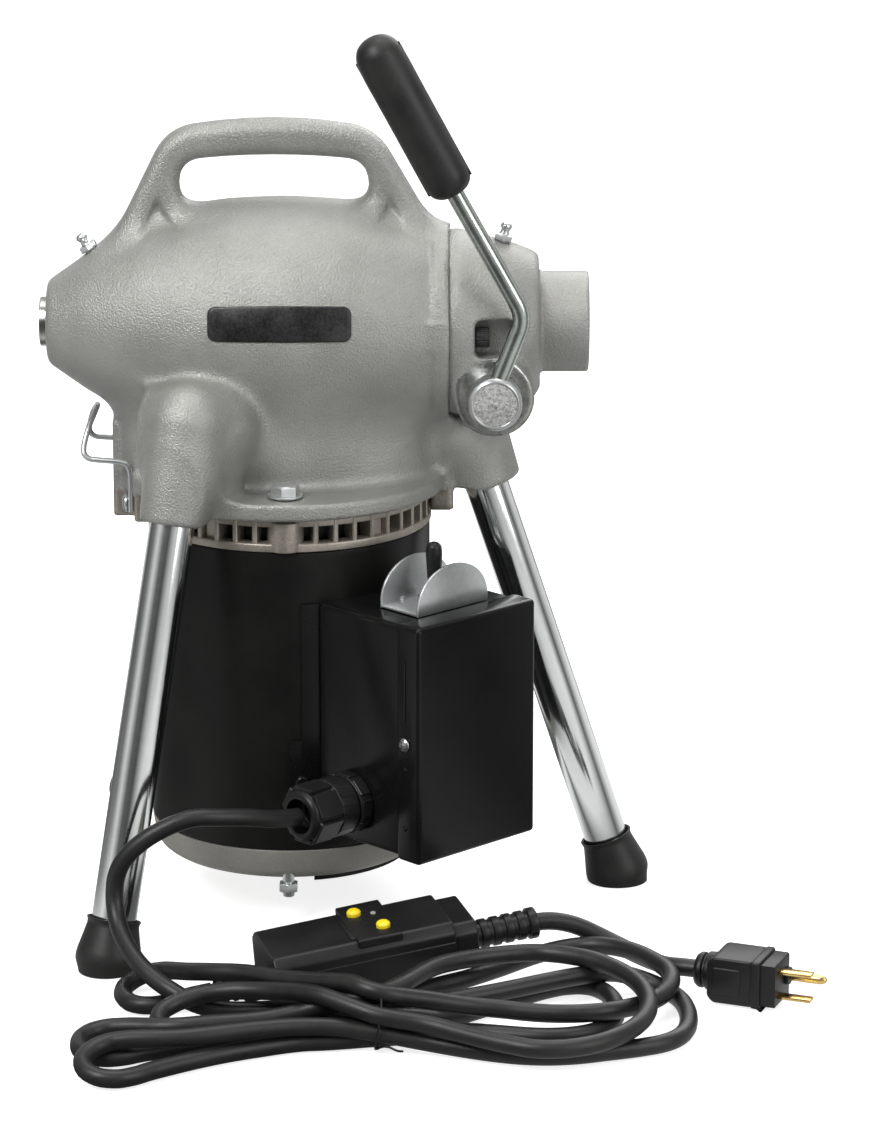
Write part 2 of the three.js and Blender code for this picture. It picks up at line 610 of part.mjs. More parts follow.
function toggleBody() {
  const body = boxBlock(-13, 13, TOGGLE_V - 9, TOGGLE_V + 9, 140, 168);
  const neck = rod(uv(0, TOGGLE_V, 160), uv(0, TOGGLE_V, 177), 5.9, undefined, 20);
  const nut = rod(uv(0, TOGGLE_V, 173.6), uv(0, TOGGLE_V, 176), 8, undefined, 6);
  return cut(join(body, neck, nut), rod(uv(0, TOGGLE_V, 168), uv(0, TOGGLE_V, 180), 4.6, undefined, 20));
}

function toggleLever() {
  return turned([[169.2, 0], [169.2, 2.1], [176, 2.5], [180, 3], [198, 4.2], [201.5, 3.9], [203, 2.2], [203.4, 0]],
    Z, uv(0, TOGGLE_V, 0), 16);
}

const glandOrigin = uv(-HALF, GLAND_V, GLAND_Z);
function glandBody() {
  return turned([[-6, 5], [-6, 10], [-0.8, 10], [-0.8, 14.8], [7, 14.8], [7, 12], [16, 12], [16, 5], [-6, 5]],
    OUTWARD, glandOrigin, 16);
}

function glandNut() {
  return turned([[8, 12.4], [16.4, 12.4], [16.4, 4.9], [GLAND_TIP, 4.9], [GLAND_TIP, 8.4], [30, 12.8], [25, 14.8],
    [8, 14.8], [8, 12.4]], OUTWARD, glandOrigin, 16);
}

// ---------------------------------------------------------------- cord, in the machine's own axes
const CORD_START = uv(-HALF - GLAND_TIP - GAP, GLAND_V, GLAND_Z).applyAxisAngle(Z, radians(BOX_TURN));
const LEAD_ROUTE = [
  [-4.5, -129, 76.5], [-17, -139, 80.6], [-31, -147, 83.4], [-44, -151, 84.2], [-54.5, -153, 81.2],
  [-65, -154.5, 75.8], [-74, -155, 68.5], [-79.5, -154, 60.5], [-82, -153, 51.5], [-82.2, -155, 42],
  [-80, -162, 33], [-75, -174, 26.5], [-68, -186, 21.5], [-60, -195, 17.8], [-52, -203.5, 15],
];
const GFCI_CENTRE = point(40.5, -157, 20);
const GFCI_ALONG = point(0.947, 0.298, 0.105).normalize();
const GFCI_BACK = point(-0.31, 0.945, 0.095).normalize();
const GFCI_LENGTH = 104;
const GFCI_WIDTH = 42;
const GFCI_HEIGHT = 25;
const gfciGroup = new THREE.Group();
const gfciUp = GFCI_ALONG.clone().cross(GFCI_BACK).normalize();
gfciGroup.quaternion.setFromRotationMatrix(new THREE.Matrix4().makeBasis(
  GFCI_ALONG, gfciUp.clone().cross(GFCI_ALONG), gfciUp));
gfciGroup.position.copy(GFCI_CENTRE);
machine.add(gfciGroup);
const onGfci = (x, y, z) => point(x, y, z).applyQuaternion(gfciGroup.quaternion).add(GFCI_CENTRE);
const BOOT_LEFT = -80;
const BOOT_RIGHT = 86.5;
const LEFT_END = onGfci(BOOT_LEFT - GAP, -3, -4.5);
const LEFT_APPROACH = onGfci(BOOT_LEFT - 9, -3, -4.5);
const LEFT_LOOP_ROUTE = [
  [-35.5, -189.5, 18.6], [-48, -177, 14.5], [-58, -166, 11], [-67, -161, 7.5], [-75, -167, 5], [-77.5, -178, 4.8],
  [-75, -189, 4.8], [-67, -196.5, 4.8], [-57, -195, 5],
];
const RIGHT_END = onGfci(BOOT_RIGHT + GAP, -2, -5);
const TAIL_ROUTE = [
  [132, -130.5, 23.7], [142, -129, 21.5], [153, -129.5, 16.8], [163, -133, 12.8], [172, -140, 10.5],
  [180, -150, 10.2], [187, -159.5, 11.2], [194, -164.9, 12.4],
];
const PLUG_TURN = -22;
const PLUG_BACK = point(201.5, -168, 12.6);

function gfciCase() {
  const half = { x: GFCI_LENGTH / 2, y: GFCI_WIDTH / 2, z: GFCI_HEIGHT / 2 };
  const section = new THREE.Shape([
    [-half.y, -half.z], [half.y, -half.z], [half.y, half.z - 5], [half.y - 4, half.z], [-half.y + 4, half.z],
    [-half.y, half.z - 5],
  ].map(([y, z]) => new THREE.Vector2(y, z)));
  const geometry = new THREE.ExtrudeGeometry(section, { depth: GFCI_LENGTH, bevelEnabled: false });
  geometry.applyMatrix4(new THREE.Matrix4().makeBasis(point(0, 1, 0), point(0, 0, 1), point(1, 0, 0)));
  geometry.translate(-half.x, 0, 0);
  const body = solid(geometry);
  const pad = block(-8, 16, -19, 19.5, half.z - 1, half.z + 2);
  const ear = block(-half.x - 14, -half.x + 1, -12, 14, -half.z + 2, -half.z + 5.5);
  const bootLeft = rod(point(BOOT_LEFT, -3, -4.5), point(-half.x + 2, -3, -4.5), 5.3, 6.2, 12);
  const bootRight = rod(point(half.x - 2, -2, -5), point(BOOT_RIGHT, -2, -5), 5.6, 6.4, 12);
  const wells = BUTTONS.map(([, x, y]) => rod(point(x, y, half.z - 3), point(x, y, half.z + 5), 3.9, undefined, 16));
  return cut(join(body, pad, cut(ear, rod(point(-half.x - 8, 1, -20), point(-half.x - 8, 1, 20), 2.4, undefined, 12)),
    bootLeft, bootRight), ...wells);
}
const BUTTONS = [['test_button', -2.5, 9.5], ['reset_button', 7, -8.5]];

function gfciButton(x, y) {
  const top = GFCI_HEIGHT / 2;
  return turned([[top - 1.2, 0], [top - 1.2, 3.5], [top + 3.2, 3.5], [top + 4.1, 2.6], [top + 4.4, 0]], Z,
    point(x, y, 0), 16);
}

const BLADE_Y = -4.4;
const GROUND_Y = 7.5;
const plugGroup = new THREE.Group();
plugGroup.position.copy(PLUG_BACK);
plugGroup.rotation.z = radians(PLUG_TURN);
machine.add(plugGroup);

function plugBody() {
  const outline = new THREE.Shape([
    [9, -12], [36, -12], [36, 12], [12, 12], [9, 9],
  ].map(([x, z]) => new THREE.Vector2(x, z)));
  const body = plateXZ(outline, 25);
  const face = plateXZ(new THREE.Shape([
    [35, -10.5], [43.5, -10.5], [43.5, 10.5], [35, 10.5],
  ].map(([x, z]) => new THREE.Vector2(x, z))), 23);
  const neck = turned([[0.3, 0], [0.3, 7.5], [3, 9], [12, 9], [12, 0]], X, point(0, 0, 0), 16);
  const blades = [-1, 1].map((s) => block(43, 60, BLADE_Y - 3.2, BLADE_Y + 3.2, s * 6.35 - 0.8, s * 6.35 + 0.8));
  const groundBase = rod(point(43, GROUND_Y, 0), point(45.5, GROUND_Y, 0), 4.4, undefined, 12);
  const ground = rod(point(45, GROUND_Y, 0), point(64, GROUND_Y, 0), 2.4, 2, 12);
  return join(body, face, neck, groundBase, ground, ...blades);
}

// Outer shape of the flat tied hank: fanned loops at both ends, narrow at the tie.
const HANK_OUTLINE = [
  [-96, -246], [-88, -236], [-62, -233], [-52, -213], [-38, -203.5], [0, -202], [22, -213], [48, -224],
  [70, -198], [89, -178], [104, -166], [118, -154], [132, -146], [150, -142], [168, -149], [181, -163],
  [188, -181], [197, -205], [196, -235], [180, -252], [160, -269], [138, -281], [105, -276], [75, -262],
  [48, -256], [20, -256], [-20, -268], [-60, -290], [-84, -299], [-97, -289], [-99, -263],
];
const HANK_TOP = 18.8;
const TIE_X = 47;
function cordHank() {
  const curve = new THREE.CatmullRomCurve3(HANK_OUTLINE.map(([x, y]) => point(x, y, 0)), true, 'centripetal');
  const outline = new THREE.Shape(curve.getPoints(40).slice(0, -1).map((p) => new THREE.Vector2(p.x, p.y)));
  return cut(plateXY(outline, 0.3, HANK_TOP), block(TIE_X - 2, TIE_X + 2, -260, -160, HANK_TOP - 1.6, 40));
}

// ---------------------------------------------------------------- assembly
piece('gear_case', gearCase(), CAST);
piece('clutch_housing', clutchHousing(), CAST);
piece('spindle', spindle(), STEEL);
piece('spindle_gear', spindleGear(), DARK_STEEL);
piece('rear_bearing', ring(X, spindleLine, -110.1, -97.5, SPINDLE_RADIUS + GAP, 19, 20), STEEL);
piece('front_bearing', ring(X, spindleLine, 70, 84, SPINDLE_RADIUS + GAP, 26, 20), STEEL);
JAW_TURNS.forEach((turn, i) => piece(`clutch_jaw_${i + 1}`, jaw(turn), DARK_STEEL));
piece('clutch_cone', clutchCone(), DARK_STEEL);
piece('thrust_sleeve', thrustSleeve(), STEEL);
piece('lever_hub', leverHub(), ZINC);
piece('lever_rod', leverRodShape(3.9), ZINC);
piece('lever_grip', leverGrip(), RUBBER);
piece('rear_grease_fitting', turned(GREASE_FITTING, point(-0.56, 0, 0.83).normalize(), point(-98.9, 0, 335), 10), ZINC);
piece('front_grease_fitting', turned(GREASE_FITTING, point(0.26, 0, 0.966).normalize(), point(108.5, 0, 339.6), 10),
  ZINC);
for (const [side, s] of [['front', -1], ['back', 1]]) {
  piece(`clutch_screw_${side}`, turned([
    [68, 0], [68, 3], [94.5, 3], [94.5, 5], [100.6, 5], [100.6, 2.4], [97.5, 2.4], [97.5, 0],
  ], X, point(0, s * 37, SPINDLE_Z), 16), DARK_STEEL);
  piece(`through_bolt_${side}`, throughBolt(s), ZINC);
  piece(`through_bolt_nut_${side}`, ring(Z, point(0, s * THROUGH_BOLT_Y, 0), 14.5, 19.5, 3.7, 5.8, 6), ZINC);
}
piece('motor_shaft', motorShaft(), STEEL);
piece('bevel_pinion', bevelPinion(), DARK_STEEL);
piece('motor_rotor', ring(Z, point(0, 0, 0), 74, 150, 7.6 + GAP, 35.4, 20), DARK_STEEL);
piece('motor_stator', stator(), COPPER);
piece('cooling_fan', coolingFan(), BLACK_PLASTIC);
piece('upper_motor_bearing', ring(Z, point(0, 0, 0), 199, 207.7, 7.6 + GAP, 20, 16), STEEL);
piece('lower_motor_bearing', ring(Z, point(0, 0, 0), 30.8, 40, 7.6 + GAP, 17, 16), STEEL);
piece('motor_can', ring(Z, point(0, 0, 0), CAN_BOTTOM, CAN_TOP, CAN_RADIUS - 2.3, CAN_RADIUS, 48), BLACK_PAINT);
piece('upper_end_bell', upperEndBell(), RAW_ALUMINIUM);
piece('lower_end_bell', lowerEndBell(), BELL_GREY);
const halfDisc = new THREE.Shape();
halfDisc.absarc(0, 0, 62, radians(-78), radians(78), false);
piece('bottom_cover', plateXY(halfDisc, 20.6, 22.7), BLACK_PAINT);
for (const side of SIDES) {
  piece(`leg_${side}`, leg(side), ZINC);
  piece(`foot_${side}`, foot(side), RUBBER);
}
piece('hose_clip_wire', clipWire(), ZINC);
for (const [side, s] of [['front', -1], ['back', 1]]) {
  piece(`hose_clip_screw_${side}`, turned([[-10.2, 0], [-10.2, 2], [0, 2], [0, 4.6], [2.2, 3.8], [3, 0]], OUTWARD,
    point(-80.95, s * CLIP_SCREW_Y, CLIP_SCREW_Z), 12), ZINC);
}
piece('switch_box', switchBox(), BLACK_PAINT, switchGroup);
piece('switch_box_cover', switchCover(), BLACK_PAINT, switchGroup);
piece('cover_screw', coverScrew(), DARK_STEEL, switchGroup);
piece('switch_guard', switchGuard(), ZINC, switchGroup);
piece('toggle_switch_body', toggleBody(), BLACK_PLASTIC, switchGroup);
piece('toggle_lever', toggleLever(), BLACK_PLASTIC, switchGroup);
piece('cord_gland_body', glandBody(), BLACK_PLASTIC, switchGroup);
piece('cord_gland_nut', glandNut(), BLACK_PLASTIC, switchGroup);
const route = (points) => points.map(([x, y, z]) => point(x, y, z));
piece('cord_lead', smoothTube([CORD_START, ...route(LEAD_ROUTE)], CORD_RADIUS, 8, 30), RUBBER);
piece('cord_loop', smoothTube([...route(LEFT_LOOP_ROUTE), LEFT_APPROACH, LEFT_END], CORD_RADIUS, 8, 26), RUBBER);
piece('gfci_case', gfciCase(), BLACK_PLASTIC, gfciGroup);
for (const [name, x, y] of BUTTONS) {
  piece(name, gfciButton(x, y), YELLOW, gfciGroup);
}
piece('cord_tail', smoothTube([RIGHT_END, RIGHT_END.clone().addScaledVector(GFCI_ALONG, 4), ...route(TAIL_ROUTE),
  PLUG_BACK], CORD_RADIUS, 8, 22), RUBBER);
piece('cord_hank', cordHank(), RUBBER);
piece('cord_tie', block(TIE_X - 0.8, TIE_X + 0.8, -250, -228, HANK_TOP - 1.2, HANK_TOP + 1), ZINC);
piece('plug', plugBody(), BLACK_PLASTIC, plugGroup);

export default machine;
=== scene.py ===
# Sectional drain cleaning machine: the surfaces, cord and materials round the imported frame.
# Shapes are given in millimetres on the machine's own axes: the motor's axis stands at X = 0, Y = 0 and the
# floor is Z = 0. metres() and all_metres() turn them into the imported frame.
import json
import math

import bmesh
import bpy
import numpy as np
from mathutils import Matrix, Vector


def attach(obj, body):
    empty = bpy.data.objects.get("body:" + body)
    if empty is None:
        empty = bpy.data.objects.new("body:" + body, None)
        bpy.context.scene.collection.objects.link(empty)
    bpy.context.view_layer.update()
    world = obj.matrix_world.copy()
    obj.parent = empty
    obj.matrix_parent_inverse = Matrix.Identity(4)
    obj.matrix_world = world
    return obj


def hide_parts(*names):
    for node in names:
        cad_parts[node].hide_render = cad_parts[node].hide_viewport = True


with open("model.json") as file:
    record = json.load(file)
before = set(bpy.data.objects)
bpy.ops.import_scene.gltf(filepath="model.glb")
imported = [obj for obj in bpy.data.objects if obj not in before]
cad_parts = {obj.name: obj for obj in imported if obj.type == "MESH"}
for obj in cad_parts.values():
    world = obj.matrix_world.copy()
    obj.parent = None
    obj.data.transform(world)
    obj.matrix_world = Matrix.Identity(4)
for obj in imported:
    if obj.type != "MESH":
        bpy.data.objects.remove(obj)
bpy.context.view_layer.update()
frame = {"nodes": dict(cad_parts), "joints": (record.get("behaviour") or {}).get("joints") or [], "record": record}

joints = {joint["name"]: joint for joint in frame["joints"]}
MM = 0.001
MOTOR_X = joints["motor_spin"]["pos_m"][0] / MM
SPINDLE_Z = joints["spindle_spin"]["pos_m"][2] / MM
LEVER_X = joints["clutch_lever"]["pos_m"][0] / MM - MOTOR_X
LEVER_Z = joints["clutch_lever"]["pos_m"][2] / MM
AXIS_X, AXIS_Y, AXIS_Z = Vector((1, 0, 0)), Vector((0, 1, 0)), Vector((0, 0, 1))
FRONT_AND_BACK = (("front", -1), ("back", 1))
# A plate's outline stood up: its second axis is the height. In the second matrix its thickness lies along X.
UPRIGHT = Matrix(((1, 0, 0, 0), (0, 0, -1, 0), (0, 1, 0, 0), (0, 0, 0, 1)))
ALONG_X = Matrix(((0, 0, 1, 0), (1, 0, 0, 0), (0, 1, 0, 0), (0, 0, 0, 1)))


def metres(p):
    """A point on the machine's axes, in millimetres, as a point of the row frame."""
    return (Vector(p) + Vector((MOTOR_X, 0, 0))) * MM


def all_metres(points):
    """The same for many points at once, as lists."""
    return ((np.array(points, float) + np.array([MOTOR_X, 0, 0])) * MM).tolist()


def new_object(name, data):
    obj = bpy.data.objects.new(name, data)
    bpy.context.scene.collection.objects.link(obj)
    return obj


# ------------------------------------------------------------------ materials
# Noise values between these two run from one colour to the other, and from one roughness to the other.
COLOUR_FROM, COLOUR_TO = 0.38, 0.62
GLOSS_FROM, GLOSS_TO = 0.3, 0.7
NOISE_ROUGHNESS = 0.55
PATCH_DETAIL, GRAIN_DETAIL = 5, 2
GRAIN_IN_COLOUR = 0.35


def noise_texture(tree, scale, detail):
    """A noise texture in the piece's own metres."""
    where = tree.nodes.new("ShaderNodeTexCoord")
    noise = tree.nodes.new("ShaderNodeTexNoise")
    noise.inputs["Scale"].default_value = scale
    noise.inputs["Detail"].default_value = detail
    noise.inputs["Roughness"].default_value = NOISE_ROUGHNESS
    tree.links.new(where.outputs["Object"], noise.inputs["Vector"])
    return noise.outputs["Fac"]


def two_tone(tree, fac, dark, light):
    """The noise as a colour between dark and light."""
    node = tree.nodes.new("ShaderNodeValToRGB")
    for element, position, color in zip(node.color_ramp.elements, (COLOUR_FROM, COLOUR_TO), (dark, light)):
        element.position = position
        element.color = (*color, 1)
    tree.links.new(fac, node.inputs["Fac"])
    return node.outputs["Color"]


def spread(tree, fac, low, high):
    """The noise as a number between low and high."""
    node = tree.nodes.new("ShaderNodeMapRange")
    for name, value in (("From Min", GLOSS_FROM), ("From Max", GLOSS_TO), ("To Min", low), ("To Max", high)):
        node.inputs[name].default_value = value
    tree.links.new(fac, node.inputs["Value"])
    return node.outputs["Result"]


def make_material(name, dark, light, rough, metallic, grain, bump, depth, patches, specular=0.5):
    """Two scales of noise: patches and grain change the colour and gloss, and grain makes the relief."""
    material = bpy.data.materials.new(name)
    material.use_nodes = True
    tree = material.node_tree
    shader = tree.nodes["Principled BSDF"]
    shader.inputs["Metallic"].default_value = metallic
    shader.inputs["Coat Weight"].default_value = 0.0
    shader.inputs["Sheen Weight"].default_value = 0.0
    shader.inputs["Specular IOR Level"].default_value = specular
    large = noise_texture(tree, patches, PATCH_DETAIL)
    fine = noise_texture(tree, grain, GRAIN_DETAIL)
    mix = tree.nodes.new("ShaderNodeMix")
    mix.data_type = "FLOAT"
    mix.inputs["Factor"].default_value = GRAIN_IN_COLOUR
    tree.links.new(large, mix.inputs["A"])
    tree.links.new(fine, mix.inputs["B"])
    shade = mix.outputs["Result"]
    tree.links.new(two_tone(tree, shade, dark, light), shader.inputs["Base Color"])
    tree.links.new(spread(tree, shade, *rough), shader.inputs["Roughness"])
    relief = tree.nodes.new("ShaderNodeBump")
    relief.inputs["Strength"].default_value = bump
    relief.inputs["Distance"].default_value = depth
    tree.links.new(fine, relief.inputs["Height"])
    tree.links.new(relief.outputs["Normal"], shader.inputs["Normal"])
    return material


# Each: name, dark colour, light colour, roughness from and to, metallic, grain per metre, strength and
# depth of the relief, and patches per metre.
CAST = make_material(
    "cast_paint", (0.25, 0.25, 0.233), (0.32, 0.32, 0.302), (0.33, 0.43), 0.4, 1050, 1.0, 0.00055, 22)
RAW = make_material(
    "raw_aluminium", (0.30, 0.27, 0.23), (0.46, 0.42, 0.37), (0.38, 0.55), 0.75, 700, 0.35, 0.0003, 40)
TURNED = make_material(
    "turned_face", (0.2, 0.2, 0.19), (0.42, 0.42, 0.40), (0.22, 0.36), 0.9, 500, 0.25, 0.00015, 60)
BELL = make_material(
    "bell_casting", (0.25, 0.245, 0.22), (0.33, 0.32, 0.295), (0.5, 0.68), 0.3, 900, 0.4, 0.0003, 30)
ZINC = make_material(
    "zinc_plate", (0.58, 0.60, 0.60), (0.68, 0.70, 0.70), (0.26, 0.36), 0.9, 500, 0.1, 0.0001, 40)
BRIGHT_ZINC = make_material(
    "bright_zinc", (0.74, 0.76, 0.76), (0.8, 0.82, 0.81), (0.1, 0.15), 1.0, 300, 0.03, 0.0001, 25)
BLASTED = make_material(
    "blasted_steel", (0.24, 0.24, 0.235), (0.62, 0.62, 0.61), (0.4, 0.6), 0.7, 1500, 1.0, 0.0005, 700)
YELLOW_ZINC = make_material(
    "tinted_zinc", (0.37, 0.41, 0.375), (0.5, 0.54, 0.5), (0.2, 0.3), 1.0, 500, 0.1, 0.0001, 60)
STEEL = make_material(
    "ground_steel", (0.38, 0.38, 0.375), (0.6, 0.6, 0.59), (0.2, 0.34), 1.0, 600, 0.15, 0.00012, 50)
DARK_STEEL = make_material(
    "oiled_steel", (0.03, 0.03, 0.031), (0.075, 0.075, 0.075), (0.32, 0.5), 0.85, 800, 0.25, 0.0002, 60)
COPPER = make_material(
    "varnished_copper", (0.35, 0.12, 0.05), (0.55, 0.22, 0.09), (0.3, 0.45), 0.8, 900, 0.6, 0.0004, 60)
BRASS = make_material(
    "brass", (0.62, 0.42, 0.14), (0.8, 0.58, 0.24), (0.16, 0.3), 1.0, 500, 0.1, 0.0001, 80)
SATIN_BLACK = make_material(
    "satin_black_paint", (0.006, 0.006, 0.006), (0.011, 0.011, 0.010), (0.28, 0.38), 0.0, 1300, 0.12,
    0.0001, 25, specular=0.17)
GLOSS_BLACK = make_material(
    "gloss_black_paint", (0.004, 0.004, 0.004), (0.007, 0.007, 0.007), (0.16, 0.24), 0.0, 900, 0.06,
    0.0001, 20, specular=0.2)
BLACK_PLASTIC = make_material(
    "black_plastic", (0.007, 0.007, 0.007), (0.012, 0.012, 0.012), (0.34, 0.46), 0.0, 2200, 0.22, 0.00012, 40,
    specular=0.3)
RUBBER = make_material(
    "black_rubber", (0.010, 0.010, 0.010), (0.018, 0.018, 0.017), (0.40, 0.54), 0.0, 1500, 0.2, 0.00015, 45,
    specular=0.35)
CORD_RUBBER = make_material(
    "cord_jacket", (0.009, 0.009, 0.0088), (0.015, 0.015, 0.0145), (0.38, 0.50), 0.0, 1100, 0.2, 0.00015, 60,
    specular=0.4)
YELLOW = make_material(
    "yellow_plastic", (0.78, 0.58, 0.01), (0.90, 0.70, 0.02), (0.3, 0.4), 0.0, 1500, 0.1, 0.0001, 90)
NODE_LOOKS = {
    "cast_housing": CAST, "raw_aluminium": RAW, "bell_casting": BELL, "zinc_plate": ZINC, "steel": STEEL,
    "dark_steel": DARK_STEEL, "copper_winding": COPPER, "black_paint": SATIN_BLACK,
    "black_plastic": BLACK_PLASTIC, "yellow_plastic": YELLOW, "black_rubber": RUBBER,
}


def dress_nodes():
    """Every CAD node that stays in sight gets its slot's finish."""
    for part in frame["record"]["subparts"]:
        node = frame["nodes"][part["node"]]
        node.data.materials.clear()
        node.data.materials.append(NODE_LOOKS[part["material_slot"]])


# ------------------------------------------------------------------ curves
def smooth_path(points, steps):
    """Points on a centripetal Catmull-Rom curve through the given ones, steps for each stretch."""
    p = [np.array(q, float) for q in points]
    p = [2 * p[0] - p[1], *p, 2 * p[-1] - p[-2]]

    def between(u, v, k0, k1, t):
        return ((k1 - t) * u + (t - k0) * v) / (k1 - k0)

    out = []
    for a, b, c, d in zip(p, p[1:], p[2:], p[3:]):
        k = np.cumsum([0, *(math.sqrt(np.linalg.norm(v - u)) for u, v in ((a, b), (b, c), (c, d)))])
        for t in np.linspace(k[1], k[2], steps, endpoint=False):
            ab = between(a, b, k[0], k[1], t)
            bc = between(b, c, k[1], k[2], t)
            cd = between(c, d, k[2], k[3], t)
            out.append(between(between(ab, bc, k[0], k[2], t), between(bc, cd, k[1], k[3], t), k[1], k[2], t))
    return np.array([*out, p[-2]])


def even_path(points, pitch):
    """The same line with its points evenly spaced, about pitch apart."""
    along = np.concatenate([[0], np.cumsum(np.linalg.norm(np.diff(points, axis=0), axis=1))])
    stations = np.linspace(0, along[-1], max(2, round(along[-1] / pitch) + 1))
    return np.stack([np.interp(stations, along, points[:, i]) for i in range(3)], axis=1)


def finish_piece(obj, body, look):
    obj.data.materials.clear()
    obj.data.materials.append(look)
    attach(obj, body)
    return obj


def replacement(obj, slot, *nodes):
    """The piece stands for the CAD nodes, and hides them. The slot is not used."""
    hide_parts(*nodes)
    return obj


def tube(name, points, radius, look, body="machine", round_steps=8):
    """A round wire or cord along the points, as one smooth open curve."""
    curve = bpy.data.curves.new(name, "CURVE")
    curve.dimensions = "3D"
    curve.resolution_u = 4
    curve.bevel_depth = radius * MM
    curve.bevel_resolution = round_steps
    curve.use_fill_caps = True
    spline = curve.splines.new("BEZIER")
    spline.bezier_points.add(len(points) - 1)
    for knot, p in zip(spline.bezier_points, points):
        knot.co = metres(p)
        knot.handle_left_type = knot.handle_right_type = "AUTO"
    return finish_piece(new_object(name, curve), body, look)


# ------------------------------------------------------------------ meshes
CREASE = 32
SAME_POINT = 2e-6


def new_mesh(name, verts, faces, crease=CREASE):
    """A mesh from points in millimetres, smooth apart from edges that turn by more than crease degrees."""
    mesh = bpy.data.meshes.new(name)
    mesh.from_pydata(all_metres(verts), [], [list(face) for face in faces])
    tidy_mesh(mesh, crease)
    return mesh


def mesh_piece(name, verts, faces, look, body="machine", crease=CREASE):
    return finish_piece(new_object(name, new_mesh(name, verts, faces, crease)), body, look)


def stand_in(name, part, look, slot, node, body="machine"):
    """A mesh piece in the place of one CAD node."""
    return replacement(mesh_piece(name, *part, look, body), slot, node)


def detail_piece(name, part, look, body="machine"):
    """A mesh piece that stands for no CAD node of its own."""
    mesh_piece(name, *part, look, body)


def tidy_mesh(mesh, crease):
    shape = bmesh.new()
    shape.from_mesh(mesh)
    bmesh.ops.remove_doubles(shape, verts=shape.verts, dist=SAME_POINT)
    bmesh.ops.recalc_face_normals(shape, faces=shape.faces)
    for face in shape.faces:
        face.smooth = True
    limit = math.radians(crease)
    for edge in shape.edges:
        edge.smooth = len(edge.link_faces) != 2 or edge.calc_face_angle(0) < limit
    shape.to_mesh(mesh)
    shape.free()


def joined(*parts):
    """Several (verts, faces) as one."""
    verts, faces = [], []
    for part_verts, part_faces in parts:
        start = len(verts)
        verts.extend(tuple(v) for v in part_verts)
        faces.extend([i + start for i in face] for face in part_faces)
    return verts, faces


def moved(part, matrix):
    return [matrix @ Vector(v) for v in part[0]], part[1]


def shifted(part, offset):
    return moved(part, Matrix.Translation(offset))


def facing(place, axis):
    """Puts a shape's origin at place and its Z along axis."""
    return Matrix.Translation(place) @ Vector(axis).to_track_quat("Z", "Y").to_matrix().to_4x4()


def softened(profile, radius, steps=3):
    """A profile with its inner corners rounded. A point may carry its own radius as a third number."""
    out = [tuple(profile[0][:2])]
    for before, corner, after in zip(profile, profile[1:], profile[2:]):
        own = corner[2] if len(corner) > 2 else radius
        a, c, b = Vector(before[:2]), Vector(corner[:2]), Vector(after[:2])
        reach = min(own, (a - c).length * 0.45, (b - c).length * 0.45)
        if reach < 1e-3:
            out.append(tuple(c))
            continue
        start, end = c + (a - c).normalized() * reach, c + (b - c).normalized() * reach
        for i in range(steps + 1):
            t = i / steps
            out.append(tuple(start * (1 - t) ** 2 + c * 2 * t * (1 - t) + end * t * t))
    return [*out, tuple(profile[-1][:2])]


def lathe(profile, axis=AXIS_Z, origin=(0, 0, 0), sides=64):
    """A profile of (along, radius) turned about an axis. A radius of 0 closes it with one point."""
    turn = AXIS_Z.rotation_difference(Vector(axis).normalized())
    origin = Vector(origin)
    verts, faces, rings = [], [], []
    for along, radius in profile:
        count = 1 if radius < 1e-6 else sides
        rings.append(range(len(verts), len(verts) + count))
        for i in range(count):
            angle = math.tau * i / sides
            verts.append(turn @ Vector((radius * math.cos(angle), radius * math.sin(angle), along)) + origin)
    for low, high in zip(rings, rings[1:]):
        for i in range(sides):
            j = (i + 1) % sides
            quad = [low[i % len(low)], low[j % len(low)], high[j % len(high)], high[i % len(high)]]
            face = list(dict.fromkeys(quad))
            if len(face) > 2:
                faces.append(face)
    return verts, faces


def ring_profile(from_, to, inner, outer, soft=0.5):
    """The closed section of a plain ring, for lathe."""
    middle = (inner + outer) / 2
    loop = [(from_, middle), (from_, outer), (to, outer), (to, inner), (from_, inner), (from_, middle)]
    return softened(loop, soft)


def rod(a, b, radius, end_radius=None, soft=0.6):
    """A straight rod from a to b, tapered where end_radius is given."""
    a, b = Vector(a), Vector(b)
    length = (b - a).length
    end_radius = radius if end_radius is None else end_radius
    return lathe(softened([(0, 0), (0, radius), (length, end_radius), (length, 0)], soft), b - a, a, 48)


def rounded_box(x0, x1, y0, y1, z0, z1, radius, steps=3):
    shape = bmesh.new()
    bmesh.ops.create_cube(shape, size=1.0)
    for v in shape.verts:
        v.co = Vector((
            (x0 + x1) / 2 + v.co.x * (x1 - x0),
            (y0 + y1) / 2 + v.co.y * (y1 - y0),
            (z0 + z1) / 2 + v.co.z * (z1 - z0)))
    ease_edges(shape, list(shape.edges), radius, steps)
    return take(shape)


def ease_edges(shape, edges, width, steps):
    bmesh.ops.bevel(
        shape, geom=edges, offset=width, segments=steps, profile=0.5, affect="EDGES", clamp_overlap=True)


def take(shape):
    shape.verts.index_update()
    part = [tuple(v.co) for v in shape.verts], [[v.index for v in f.verts] for f in shape.faces]
    shape.free()
    return part


